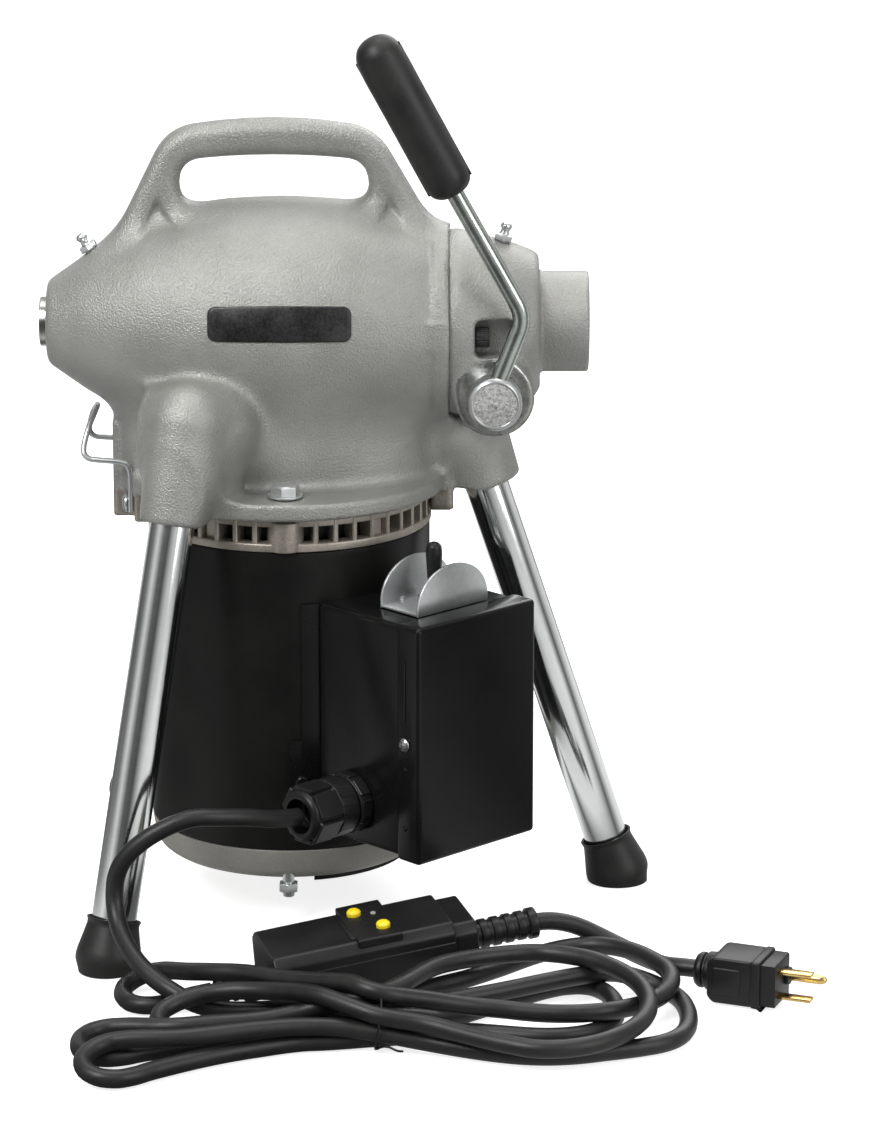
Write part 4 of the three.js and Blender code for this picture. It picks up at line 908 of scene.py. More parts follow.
def add_motor():
    can = lathe(softened([
        (CAN_BOTTOM + 2, CAN_RADIUS - 2.3), (CAN_BOTTOM, CAN_RADIUS - 2.3), (CAN_BOTTOM, CAN_RADIUS, 1),
        (CAN_BOTTOM + 3, CAN_RADIUS, 0.5), (CAN_TOP - 4, CAN_RADIUS, 0.5), (CAN_TOP, CAN_RADIUS, 1),
        (CAN_TOP, CAN_RADIUS - 2.3), (CAN_BOTTOM + 2, CAN_RADIUS - 2.3)], 0.4), sides=160)
    stand_in("motor_can_shell", can, SATIN_BLACK, "black_paint", "motor_can")
    parts = [
        lathe(softened([
            (BELL_BOTTOM, 66), (BELL_BOTTOM, 72.6, 0.8), (CAN_TOP + 4.4, 72.6, 0.8),
            (CAN_TOP + 4.8, 70.8, 0.4), (CAN_TOP + 4.8, 66), (BELL_BOTTOM, 66)], 0.4), sides=160),
        lathe(softened([
            (209.3, 0), (209.3, 71.9, 0.6), (213.7, 71.9, 0.6), (213.7, 0)], 0.4), sides=160),
        rod((0, 0, 199), (0, 0, 212), 23),
    ]
    for number in range(BELL_RIBS):
        turn = math.tau * (number + 0.5) / BELL_RIBS
        rib = rounded_box(62, 72.3, -1.25, 1.25, CAN_TOP + 1, 213, 0.5, 1)
        parts.append(moved(rib, Matrix.Rotation(turn, 4, "Z")))
    for s in (-1, 1):
        parts.append(rod((0, s * THROUGH_BOLT_Y, BELL_BOTTOM), (0, s * THROUGH_BOLT_Y, 212), 9, soft=1))
    for number in range(2, BELL_RIBS, 9):
        block = rounded_box(61, 69, -3.4, 3.4, CAN_TOP + 1, 210, 0.6, 1)
        parts.append(moved(block, Matrix.Rotation(math.tau * number / BELL_RIBS, 4, "Z")))
    # A black wall just inside the ribs, which makes the gaps between them dark: painted shade in the vents.
    vent_shade = lathe(softened([
        (BELL_BOTTOM, 60), (BELL_BOTTOM, 63), (212, 63), (212, 60), (BELL_BOTTOM, 60)], 0.4), sides=96)
    detail_piece("upper_bell_shade_wall", vent_shade, SATIN_BLACK)
    stand_in("upper_bell_casting", joined(*parts), RAW, "raw_aluminium", "upper_end_bell")
    lower = lathe(softened([
        (23, 0), (23, 60, 1), (23.6, 64.4, 1.5), (27, 69.3, 3), (36, 71.2, 2), (CAN_BOTTOM - 0.3, 71.8, 0.6),
        (CAN_BOTTOM - 0.3, 66), (28, 62), (28, 24), (40, 23), (40, 9), (23, 9)], 0.8), sides=160)
    stand_in("lower_bell_casting", lower, BELL, "bell_casting", "lower_end_bell")
    angles = [math.radians(a) for a in range(-COVER_HALF_ANGLE, COVER_HALF_ANGLE + 1, COVER_STEP)]
    half = [(COVER_RADIUS * math.cos(a), COVER_RADIUS * math.sin(a)) for a in angles]
    cover = shifted(plate(half, 2.1, 0.6), (0, 0, 21.65))
    boltlets = [rod((44, y, 19.6), (44, y, 21), 3.2, soft=0.5) for y in (-30, 30)]
    stand_in("bottom_cover_plate", joined(cover, *boltlets), SATIN_BLACK, "black_paint", "bottom_cover")


# ------------------------------------------------------------------ legs, feet and hose clip
def add_legs():
    for side in LEGS:
        axis, foot = leg_axis(side), leg_at(side, FOOT_SEAT)
        length = (leg_at(side, LEG_BOSS[side][3] - 1) - foot).length
        leg = lathe(softened([
            (4, 9.5), (0, 9.5), (0, LEG_RADIUS), (length, LEG_RADIUS), (length, 9.5), (4, 9.5)], 0.6),
            axis, foot, 96)
        stand_in(f"leg_tube_{side}", leg, BRIGHT_ZINC, "zinc_plate", f"leg_{side}")
        rubber = lathe(softened([
            (-8, 0), (-8, 12), (-1, 14.2, 3), (4, 16.4, 3), (8, 16.3, 4), (15, 14.6, 5), (22, 13, 3),
            (23.6, 12.9, 1), (25.6, 13.6, 0.4), (25.6, 12.3, 0.3), (23, LEG_RADIUS + LEG_GAP),
            (8.6, LEG_RADIUS + LEG_GAP), (8.6, 0)], 1.5, 4),
            axis, leg_at(side, 0), 96)
        piece = mesh_piece(f"rubber_foot_{side}", *rubber, RUBBER)
        ground = leg_at(side, 0)
        cut_with(piece, rounded_box(
            ground.x - 40, ground.x + 40, ground.y - 40, ground.y + 40, -40, 0.05, 0.01, 1))
        replacement(piece, "black_rubber", f"foot_{side}")


CLIP_WIRE = [
    (-79.2, -24.5, 205), (-79.2, -24.5, 214), (-79.2, -24.5, 222), (-79.6, -24.5, 226.5), (-81.6, -24.5, 230),
    (-87, -24.4, 231.2), (-94, -24.2, 231.8), (-99.6, -23.8, 232.5), (-102, -23.2, 234.2),
    (-102.6, -21.5, 237.5), (-100.4, -16, 246.5), (-97.8, -8.5, 252.4), (-97, -3, 254),
]
CLIP_SCREW_Y, CLIP_SCREW_Z = 20.5, 208.9


def add_hose_clip():
    wire = CLIP_WIRE + [(x, -y, z) for x, y, z in reversed(CLIP_WIRE)]
    line = even_path(smooth_path(wire, 8), 2.5)
    replacement(tube("hose_clip_spring", line, 1.45, ZINC), "zinc_plate", "hose_clip_wire")
    for side, s in FRONT_AND_BACK:
        place = (-80.95, s * CLIP_SCREW_Y, CLIP_SCREW_Z)
        body = lathe(softened([
            (-10.2, 0), (-10.2, 2), (0, 2), (0, 4.7), (1.2, 4.7, 0.6), (2.6, 3.2, 1), (3, 0)], 0.3),
            -AXIS_X, place, 48)
        screw = mesh_piece(f"hose_clip_screw_head_{side}", *body, ZINC)
        cut_with(screw, rounded_box(
            -86, -82.8, place[1] - 0.5, place[1] + 0.5, place[2] - 3.6, place[2] + 3.6, 0.1, 1))
        replacement(screw, "zinc_plate", f"hose_clip_screw_{side}")


# ------------------------------------------------------------------ switch box: across, out and up
BOX_TURN = math.radians(43.6)
BOX_FRAME = Matrix.Rotation(BOX_TURN, 4, "Z")
HALF_BOX, BOX_FRONT, BOX_BACK, BOX_BOTTOM, BOX_TOP = 40.5, 138.2, 64, 51, 172.6
TOGGLE_OUT = 107
GLAND_OUT, GLAND_Z, GLAND_TIP = 90, 74, 36
COVER_BACK = 122
LID_SCREW_OUT, LID_SCREW_Z = 128.5, 112
TOGGLE_HOLE_RADIUS, GLAND_HOLE_RADIUS = 6.3, 10.4
# The pressed tab beside the box, round the can: from, to and its stud, as angles round the motor axis.
TAB_FROM, TAB_TO, TAB_STUD = math.radians(-89), math.radians(-77), math.radians(-84)
TAB_STEPS, EAR_STEPS = 12, 20


def on_box(part):
    return moved(part, BOX_FRAME)


def box_rod(a, b, radius, end_radius=None, soft=0.6):
    """A rod between two (across, out, up) points of the switch box."""
    return on_box(rod((a[0], -a[1], a[2]), (b[0], -b[1], b[2]), radius, end_radius, soft))


def add_switch_box():
    body = rounded_box(
        -HALF_BOX + 1.2, HALF_BOX - 1.2, -BOX_FRONT + 2, -BOX_BACK, BOX_BOTTOM + 1.2, BOX_TOP - 1.2, 3, 4)
    shell = mesh_piece("switch_box_body", *on_box(body), GLOSS_BLACK)
    cut_with(
        shell,
        on_box(rounded_box(
            -HALF_BOX + 3, HALF_BOX - 3, -BOX_FRONT - 5, -76, BOX_BOTTOM + 3, BOX_TOP - 3, 1, 1)),
        lathe([(0, 0), (0, CAN_RADIUS + 0.4), (250, CAN_RADIUS + 0.4), (250, 0)], AXIS_Z, (0, 0, 0), 160),
        box_rod((0, TOGGLE_OUT, 160), (0, TOGGLE_OUT, 180), TOGGLE_HOLE_RADIUS, soft=0.01),
        box_rod((-30, GLAND_OUT, GLAND_Z), (-50, GLAND_OUT, GLAND_Z), GLAND_HOLE_RADIUS, soft=0.01))
    replacement(shell, "black_paint", "switch_box")
    cover = mesh_piece("switch_box_lid", *on_box(rounded_box(
        -HALF_BOX, HALF_BOX, -BOX_FRONT, -COVER_BACK, BOX_BOTTOM, BOX_TOP, 2.4, 5)), GLOSS_BLACK)
    cut_with(
        cover,
        on_box(rounded_box(
            -HALF_BOX + 0.9, HALF_BOX - 0.9, -BOX_FRONT + 1.6, -COVER_BACK + 20,
            BOX_BOTTOM + 0.9, BOX_TOP - 0.9, 2.4, 4)),
        box_rod((-50, LID_SCREW_OUT, LID_SCREW_Z), (-30, LID_SCREW_OUT, LID_SCREW_Z), 2.3, soft=0.01))
    replacement(cover, "black_paint", "switch_box_cover")
    details = [
        on_box(rounded_box(-HALF_BOX - 0.5, -HALF_BOX + 1, -129.3, -127.7, 124, 155, 0.35, 2)),
        box_rod((-HALF_BOX + 1, LID_SCREW_OUT, 99), (-HALF_BOX - 0.7, LID_SCREW_OUT, 99), 1.8, 1.2, 0.3),
        box_rod((-HALF_BOX + 1, LID_SCREW_OUT, 68.6), (-HALF_BOX - 0.7, LID_SCREW_OUT, 68.6), 1.8, 1.2, 0.3),
        box_rod((HALF_BOX - 1, 131.5, 66), (HALF_BOX + 0.9, 131.5, 66), 2.2, 1.6),
    ]
    detail_piece("switch_box_pressings", joined(*details), GLOSS_BLACK)
    inner, outer = CAN_RADIUS + 0.45, CAN_RADIUS + 2.1
    angles = [TAB_FROM + (TAB_TO - TAB_FROM) * i / TAB_STEPS for i in range(TAB_STEPS + 1)]
    rows = ((inner, angles), (outer, angles[::-1]))
    ring = [(r * math.cos(a), r * math.sin(a)) for r, row in rows for a in row]
    out = Vector((math.cos(TAB_STUD), math.sin(TAB_STUD), 0))
    centre = out * (CAN_RADIUS + 2) + Vector((0, 0, 77))
    tab = [
        shifted(plate(ring, 39, 0.6), (0, 0, 79.5)),
        shifted(plate(ring[5:-5], 72, 0.4), (0, 0, 134)),
        rod(centre, centre + out * 2.2, 4.2, 3.2, 1),
    ]
    detail_piece("switch_box_tab", joined(*tab), GLOSS_BLACK)
    screw = lathe(softened([
        (-6, 0), (-6, 2), (0.4, 2), (0.4, 3.6), (1.0, 3.5, 0.4), (2.0, 2.2, 0.8), (2.3, 0)], 0.2),
        -AXIS_X, (-HALF_BOX, -LID_SCREW_OUT, LID_SCREW_Z), 48)
    head = mesh_piece("lid_screw", *on_box(screw), STEEL)
    cut_with(
        head,
        *(on_box(rounded_box(
            -HALF_BOX - 3, -HALF_BOX - 1.4, -LID_SCREW_OUT - across, -LID_SCREW_OUT + across,
            LID_SCREW_Z - up, LID_SCREW_Z + up, 0.05, 1)) for across, up in ((0.4, 2.6), (2.6, 0.4))))
    replacement(head, "zinc_plate", "cover_screw")


def add_switch():
    ear = bezier_outline((-24, 171.9), (24, 171.9), (24, 176))
    for start, c1, c2, end in (
        ((24, 176), (23, 188), (12, 195), (0, 195)), ((0, 195), (-12, 195), (-23, 188), (-24, 176)),
    ):
        for i in range(1, EAR_STEPS + 1):
            t = i / EAR_STEPS
            ear.append(tuple(
                (1 - t) ** 3 * p + 3 * t * (1 - t) ** 2 * q + 3 * t * t * (1 - t) * r + t ** 3 * u
                for p, q, r, u in zip(start, c1, c2, end)))
    ear_plate = moved(plate(ear, 1.4, 0.35), UPRIGHT)
    parts = [on_box(shifted(ear_plate, (0, -out, 0))) for out in (94, 120)]
    parts.append(on_box(rounded_box(-24, 24, -120.7, -93.3, 171.9, 173.3, 0.5, 2)))
    for out in (94.9, 119.1):
        for across in (-10, 10):
            dimple = rounded_box(-1.2, 1.2, -1.2, 1.2, -1.2, 1.2, 0.8, 2)
            parts.append(on_box(shifted(dimple, (across, -out, 174))))
    guard = mesh_piece("switch_guard_channel", *joined(*parts), ZINC)
    cut_with(guard, box_rod((0, TOGGLE_OUT, 165), (0, TOGGLE_OUT, 180), TOGGLE_HOLE_RADIUS, soft=0.01))
    replacement(guard, "zinc_plate", "switch_guard")
    bushing = [
        on_box(rounded_box(-13, 13, -TOGGLE_OUT - 9, -TOGGLE_OUT + 9, 140, 168, 1)),
        on_box(shifted(plate(hexagon(8.2), 2.4, 0.5), (0, -TOGGLE_OUT, 174.7))),
        on_box(lathe(softened([(160, 4.6), (177.2, 4.6), (177.2, 5.9), (160, 5.9), (160, 4.6)], 0.3),
                     AXIS_Z, (0, -TOGGLE_OUT, 0), 48)),
    ]
    stand_in("toggle_bushing", joined(*bushing), BLACK_PLASTIC, "black_plastic", "toggle_switch_body")
    lever = on_box(lathe(softened([
        (169.2, 0), (169.2, 2.1), (176, 2.5), (180, 3), (190, 3.7), (198, 4.2, 2), (201.8, 3.7, 2),
        (203.4, 1.8, 1.2), (203.6, 0)], 1, 4), AXIS_Z, (0, -TOGGLE_OUT, 0), 48))
    stand_in("toggle_bat", lever, BLACK_PLASTIC, "black_plastic", "toggle_lever", "toggle")


def ribbed(start, end, radius, count, axis, origin, width=1.1, height=0.7):
    """Short raised bars round a turned part, along its axis."""
    turn = AXIS_Z.rotation_difference(Vector(axis))
    bars = []
    for number in range(count):
        bar = rounded_box(radius - 1, radius + height, -width, width, start, end, 0.45, 1)
        bars.append(moved(bar, Matrix.Translation(origin) @ turn.to_matrix().to_4x4() @ Matrix.Rotation(
            math.tau * number / count, 4, "Z")))
    return bars


def add_gland():
    origin = (-HALF_BOX, -GLAND_OUT, GLAND_Z)
    body = lathe(softened([
        (-6, 5), (-6, 10), (-0.8, 10), (-0.8, 14.8, 0.6), (7, 14.8, 0.8), (7, 12), (16, 12), (16, 5),
        (-6, 5)], 0.4), -AXIS_X, origin, 96)
    flats = ribbed(0, 6.2, 14.2, 8, -AXIS_X, origin, 4.6, 1)
    stand_in("gland_body", on_box(joined(body, *flats)), BLACK_PLASTIC, "black_plastic", "cord_gland_body")
    nut = lathe(softened([
        (8, 12.4), (16.4, 12.4), (16.4, 4.9), (28, 4.9), (28, 8.4), (GLAND_TIP, 8.8, 0.4),
        (GLAND_TIP, 11.4, 1), (GLAND_TIP - 2, 13, 1), (19.5, 13.6, 0.4), (19, 14.9, 0.6), (8, 14.9, 0.8),
        (8, 12.4)], 0.4, 4), -AXIS_X, origin, 96)
    flats = ribbed(19, GLAND_TIP - 2.5, 12.6, 6, -AXIS_X, origin, 6.2, 1.7)
    ridges = ribbed(9, 19, 14.3, 20, -AXIS_X, origin)
    nut = on_box(joined(nut, *flats, *ridges))
    stand_in("gland_nut", nut, BLACK_PLASTIC, "black_plastic", "cord_gland_nut")


# ------------------------------------------------------------------ camera, floor and light
CAMERA_AZIMUTH, CAMERA_ELEVATION = math.radians(-0.2), math.radians(15.47)
CAMERA_DISTANCE = 2423.83
CAMERA_TARGET = (75.01, 0, 171.45)
CAMERA_LENS = 151.43
FLOOR_GLOW = 0.8
FLOOR_GREY, FLOOR_HALF, FLOOR_DROP = 0.6, 6, 0.0004
WORLD_LIGHT, WORLD_IN_GLOSS = 0.34, 0.8
# The studio's shades as shiny surfaces see them: each point is a share of a turn, and how pale it is there.
FLOOR_SECTORS = [
    (0.0, 0.25), (1.0, 0.25), (0.08, 0.9), (0.16, 0.15), (0.24, 0.10), (0.32, 0.75), (0.40, 0.9),
    (0.47, 0.12), (0.55, 0.85), (0.62, 0.95), (0.68, 0.10), (0.745, 0.14), (0.79, 0.95), (0.85, 0.8),
    (0.91, 0.12),
]
# Name, place, size and power of each light, in metres and watts.
LIGHTS = [
    ("key", (-1.1, -1.5, 1.9), (1.0, 1.0), 50), ("fill", (1.5, -1.3, 1.1), (0.8, 1.4), 15),
    ("top", (0.1, 0.3, 2.3), (1.6, 1.2), 26), ("rim", (0.6, 1.6, 1.3), (1.4, 1.0), 18),
]
LIGHTS_AIM = Vector((0, 0, 0.2))


def add_camera():
    level = math.cos(CAMERA_ELEVATION)
    back = Vector((
        math.sin(CAMERA_AZIMUTH) * level, -math.cos(CAMERA_AZIMUTH) * level, math.sin(CAMERA_ELEVATION)))
    data = bpy.data.cameras.new("camera")
    data.lens = CAMERA_LENS
    data.sensor_width = 36
    data.sensor_fit = "AUTO"
    data.clip_end = 50
    camera = new_object("camera", data)
    camera.location = metres(Vector(CAMERA_TARGET) + back * CAMERA_DISTANCE)
    camera.rotation_mode = "QUATERNION"
    camera.rotation_quaternion = back.to_track_quat("Z", "Y")
    bpy.context.scene.camera = camera


def add_area_light(name, place, size, power):
    data = bpy.data.lights.new(name, "AREA")
    data.shape = "RECTANGLE"
    data.size, data.size_y = size
    data.energy = power
    light = new_object(name, data)
    light.location = place
    light.rotation_mode = "QUATERNION"
    light.rotation_quaternion = (Vector(place) - LIGHTS_AIM).to_track_quat("Z", "Y")


def sector_shades(tree, coordinates):
    """Pale and dark sectors round the table, as shiny surfaces see them."""
    where = tree.nodes.new("ShaderNodeTexCoord")
    turn = tree.nodes.new("ShaderNodeTexGradient")
    turn.gradient_type = "RADIAL"
    tree.links.new(where.outputs[coordinates], turn.inputs["Vector"])
    sectors = tree.nodes.new("ShaderNodeValToRGB")
    elements = sectors.color_ramp.elements
    # A new ramp has its first and last element, which are the first two points of the list.
    for number, (place, shade) in enumerate(FLOOR_SECTORS):
        element = elements[number] if number < 2 else elements.new(place)
        element.position = place
        element.color = (shade, shade, shade, 1)
    tree.links.new(turn.outputs["Fac"], sectors.inputs["Fac"])
    return sectors.outputs["Color"]


def show_in_gloss(tree, path, plain, seen, output):
    """The plain shader, but shiny surfaces see the other one."""
    mix = tree.nodes.new("ShaderNodeMixShader")
    tree.links.new(path.outputs["Is Glossy Ray"], mix.inputs["Fac"])
    tree.links.new(plain, mix.inputs[1])
    tree.links.new(seen, mix.inputs[2])
    tree.links.new(mix.outputs["Shader"], tree.nodes[output].inputs["Surface"])


def add_world():
    world = bpy.data.worlds.new("studio")
    world.use_nodes = True
    tree = world.node_tree
    plain = tree.nodes["Background"]
    plain.inputs["Color"].default_value = (1, 1, 1, 1)
    plain.inputs["Strength"].default_value = WORLD_LIGHT
    seen = tree.nodes.new("ShaderNodeBackground")
    tree.links.new(sector_shades(tree, "Generated"), seen.inputs["Color"])
    seen.inputs["Strength"].default_value = WORLD_IN_GLOSS
    path = tree.nodes.new("ShaderNodeLightPath")
    show_in_gloss(tree, path, plain.outputs["Background"], seen.outputs["Background"], "World Output")
    bpy.context.scene.world = world


def add_floor_material():
    """White to look at. Shiny surfaces see pale and dark sectors, as with flags standing round the table."""
    material = bpy.data.materials.new("floor")
    material.use_nodes = True
    tree = material.node_tree
    shader = tree.nodes["Principled BSDF"]
    shader.inputs["Base Color"].default_value = (FLOOR_GREY, FLOOR_GREY, FLOOR_GREY, 1)
    shader.inputs["Roughness"].default_value = 0.9
    shader.inputs["Specular IOR Level"].default_value = 0.0
    shader.inputs["Emission Color"].default_value = (1, 1, 1, 1)
    path = tree.nodes.new("ShaderNodeLightPath")
    glow = tree.nodes.new("ShaderNodeMath")
    glow.operation = "MULTIPLY"
    glow.inputs[1].default_value = FLOOR_GLOW
    tree.links.new(path.outputs["Is Camera Ray"], glow.inputs[0])
    tree.links.new(glow.outputs["Value"], shader.inputs["Emission Strength"])
    seen = tree.nodes.new("ShaderNodeEmission")
    tree.links.new(sector_shades(tree, "Object"), seen.inputs["Color"])
    show_in_gloss(tree, path, shader.outputs["BSDF"], seen.outputs["Emission"], "Material Output")
    return material


def add_stage():
    floor = bpy.data.meshes.new("floor")
    corners = [(x * FLOOR_HALF, y * FLOOR_HALF, 0) for x, y in ((-1, -1), (1, -1), (1, 1), (-1, 1))]
    floor.from_pydata(corners, [], [(0, 1, 2, 3)])
    ground = new_object("floor", floor)
    ground.location.z = -FLOOR_DROP
    ground.data.materials.append(add_floor_material())
    add_world()
    bpy.context.scene.view_settings.view_transform = "Standard"
    for light in LIGHTS:
        add_area_light(*light)


# ------------------------------------------------------------------ power cord
CORD_RADIUS = 4.45
GFCI_CENTRE = Vector((40.5, -157, 20))
GFCI_ALONG = Vector((0.947, 0.298, 0.105)).normalized()
GFCI_BACK = Vector((-0.31, 0.945, 0.095)).normalized()
GFCI_UP = GFCI_ALONG.cross(GFCI_BACK).normalized()
GFCI_FRAME = Matrix.Translation(GFCI_CENTRE) @ Matrix(
    (GFCI_ALONG, GFCI_UP.cross(GFCI_ALONG), GFCI_UP)).transposed().to_4x4()
BOOT_LEFT, BOOT_RIGHT = -80, 86.5
LEFT_END = GFCI_FRAME @ Vector((BOOT_LEFT - 0.3, -3, -4.5))
RIGHT_END = GFCI_FRAME @ Vector((BOOT_RIGHT + 0.3, -2, -5))
PLUG_BACK = Vector((201.5, -168, 12.6))
PLUG_TURN = math.radians(-22)
PLUG_FRAME = Matrix.Translation(PLUG_BACK) @ Matrix.Rotation(PLUG_TURN, 4, "Z")
GLAND_END = BOX_FRAME @ Vector((-HALF_BOX - GLAND_TIP - 0.3, -GLAND_OUT, GLAND_Z))

# From the gland down to the hank, through the air in front of the left leg.
LEAD = [
    (-4.5, -129, 76.5), (-17, -139, 80.6), (-31, -147, 83.4), (-44, -151, 84.2), (-54.5, -153, 81.2),
    (-65, -154.5, 75.8), (-74, -155, 68.5), (-79.5, -154, 60.5), (-82, -153, 51.5), (-82.2, -155, 42),
    (-80, -162, 33), (-75, -174, 26.5), (-68, -186, 21.5), (-60, -195, 17.5), (-50, -203, 13.6),
    (-41, -206, 9.5), (-30, -206, 6), (-15, -206, 4.6), (4, -210, 5.5),
]
# The hank's loops, in their order along the cord. Each runs from the tie, round its end and back.
RIGHT_LOOPS = [
    [(89, -206, 5), (110, -190, 4.5), (130, -175, 4.5), (145, -170, 4.5), (155, -177, 4.5), (160, -190, 4.5),
     (161, -204, 4.5), (159, -218, 4.5), (153, -229, 4.5), (143, -236, 4.5), (127, -239, 4.5),
     (108, -236, 4.5), (88, -232, 4.5)],
    [(71, -249, 5), (88, -255, 4.5), (105, -261, 4.5), (121, -264, 4.5), (138, -263, 4.5), (155, -258, 4.5),
     (170, -253, 4.5), (182, -247, 4.5), (190, -238, 4.5), (194, -225, 4.5), (195, -209, 4.5),
     (192, -190, 4.5), (182, -173, 5), (166, -169, 9), (149, -178, 12.5), (130, -189, 13), (108, -202, 12),
     (80, -217, 10)],
    [(74, -193, 23), (89, -181, 22), (106, -173, 21), (124, -169, 20), (141, -175, 19.5), (157, -187, 19),
     (168, -201, 18), (174, -217, 17), (175, -231, 15.5), (171, -246, 14.5), (162, -259, 13.5),
     (150, -269, 13), (137, -275, 13), (121, -276, 13), (105, -270, 13.5), (88, -261, 14), (70, -252, 15)],
    [(71, -195, 13), (89, -180, 12), (106, -162, 11), (123, -145, 11), (138, -137, 12), (152, -137, 13.5),
     (168, -147, 15), (180, -163, 15.5), (187, -176, 15), (188, -188, 14), (185, -198, 12.5),
     (178, -207, 11.5), (168, -217, 12), (155, -228, 13), (139, -231, 13), (122, -230, 13), (105, -228, 14),
     (88, -230, 16), (70, -236, 20)],
]
LEFT_LOOPS = [
    [(25, -244, 4.5), (10, -246, 4.5), (-6, -252, 4.5), (-24, -260, 4.5), (-41, -270, 4.5), (-58, -282, 4.5),
     (-71, -291.5, 4.5), (-82, -292, 5.2), (-89.5, -284.5, 7.5), (-88, -274, 10), (-78.5, -267, 12.5),
     (-66, -266.5, 14), (-54, -266, 14), (-41, -264, 14), (-24, -259, 14), (-6, -253, 13.5), (12, -248, 12),
     (30, -246, 10)],
    [(25, -234, 8), (5, -236, 5), (-18, -242, 4.5), (-42, -250, 4.5), (-62, -258, 4.5), (-77, -265, 4.5),
     (-87.5, -263, 4.5), (-93.5, -253, 5), (-92, -241, 6), (-82, -234, 7), (-66, -236, 8), (-50, -240, 9),
     (-28, -236, 9), (-4, -232, 10), (20, -230, 15)],
    [(30, -239, 18), (11, -225, 17), (-7, -213, 15), (-25, -208, 14), (-39, -209, 12.5), (-51, -214, 10.5),
     (-57.5, -222, 8), (-56, -230.5, 5.5), (-46, -235, 4.5), (-34, -233, 4.5), (-20, -229, 4.5), (0, -225, 5),
     (22, -225, 9)],
]
LAST_LOOP = [
    (37, -236, 24), (21, -225, 22.5), (2, -211, 21), (-17, -197, 20), (-34, -188, 18), (-48, -177, 14.5),
    (-58, -166, 11), (-67, -161, 7.5), (-75, -167, 5), (-77.5, -178, 4.5), (-75, -189, 4.5), (-67, -197, 4.5),
    (-57, -195, 5),
]
TAIL = [
    (132, -130.5, 23.7), (142, -129, 21.5), (153, -129.5, 16.8), (163, -133, 12.8), (172, -140, 10.5),
    (180, -150, 10.2), (187, -159.5, 11.2), (194, -164.9, 12.4),
]
# The tie's place, the radius at which seven runs lie round the eighth in it, and the points round its wire.
TIE_X, TIE_Y, TIE_Z, TIE_RING = 47, -239, 14.7, 10.26
TIE_STEPS = 26


def tie_slot(number):
    """Where a run of cord crosses the tie: seven lie in a ring, and the last in its middle."""
    if number == 7:
        return (TIE_X, TIE_Y, TIE_Z)
    turn = -math.pi / 2 - math.tau * number / 7
    return (TIE_X, TIE_Y + TIE_RING * math.cos(turn), TIE_Z + TIE_RING * math.sin(turn))


# The slot of each run through the tie, in their order along the cord.
TIE_SLOTS = [7, 0, 1, 6, 4, 2, 5, 3]


def hank_points():
    """Lead, then out to each right loop and back to each left loop, then the last loop into the boot."""
    points = [GLAND_END, *LEAD]
    for number, loop in enumerate(RIGHT_LOOPS):
        points += [tie_slot(TIE_SLOTS[2 * number]), *loop, tie_slot(TIE_SLOTS[2 * number + 1])]
        if number < len(LEFT_LOOPS):
            points += LEFT_LOOPS[number]
    return [*points, *LAST_LOOP, LEFT_END - GFCI_ALONG * 9, LEFT_END]


PITCH, ROUNDS = 5.0, 160
PUSH, PUSH_SIDEWAYS = 0.3, 0.6
# The cord's ends stay put: it begins to move this far from them, and moves freely this much further on.
HELD_END, EASED_END = 15, 45


def settled(points):
    """Runs of cord that lie in each other pushed apart, with the floor under them."""
    line = even_path(smooth_path(points, 10), PITCH)
    order = np.arange(len(line))
    own = np.abs(np.subtract.outer(order, order)) * PITCH < 4 * CORD_RADIUS
    to_end = np.minimum(order, order[::-1]) * PITCH
    free = np.clip((to_end - HELD_END) / EASED_END, 0, 1)[:, None]
    shift = np.zeros_like(line)
    for _ in range(ROUNDS):
        now = line + shift
        gap = now[:, None] - now[None]
        far = np.linalg.norm(gap, axis=2)
        far[own] = 1e6
        overlap = np.clip(2 * CORD_RADIUS + 0.1 - far, 0, None)
        push = (gap / far[..., None] * overlap[..., None] * PUSH).sum(axis=1)
        push[:, :2] *= PUSH_SIDEWAYS
        shift += push
        shift[1:-1] = 0.5 * shift[1:-1] + 0.25 * (shift[:-2] + shift[2:])
        shift *= free ** 0.1
        shift[:, 2] = np.maximum(shift[:, 2], CORD_RADIUS + 0.3 - line[:, 2])
    return even_path(line + shift, 2 * PITCH)


def add_cords():
    main = tube("main_cord", settled(hank_points()), CORD_RADIUS, CORD_RUBBER)
    replacement(main, "black_rubber", "cord_lead", "cord_hank", "cord_loop")
    tail_line = even_path(smooth_path([RIGHT_END, RIGHT_END + GFCI_ALONG * 4, *TAIL, PLUG_BACK], 8), 8)
    tail = tube("tail_cord", tail_line, CORD_RADIUS, CORD_RUBBER)
    replacement(tail, "black_rubber", "cord_tail")
    return main, tail


# ------------------------------------------------------------------ interrupter, plug and tie
GFCI_LENGTH, GFCI_WIDTH, GFCI_HEIGHT = 104, 42, 25
BUTTONS = {"test_button": (-2.5, 9.5), "reset_button": (7, -8.5)}
BLADE_Y, BLADE_Z, GROUND_Y = -4.4, 6.35, 7.5


def bevelled_section(half_y, half_z, chamfer, length, soft=1.2):
    """A long case with its two upper edges chamfered, along X."""
    section = softened([
        (0, -half_z), (half_y, -half_z, 1.6), (half_y, half_z - chamfer, 1.4),
        (half_y - chamfer, half_z, 1.4), (-half_y + chamfer, half_z, 1.4), (-half_y, half_z - chamfer, 1.4),
        (-half_y, -half_z, 1.6), (0, -half_z)],
        1.4)[:-1]
    return moved(plate(section, length, soft, 3), ALONG_X)


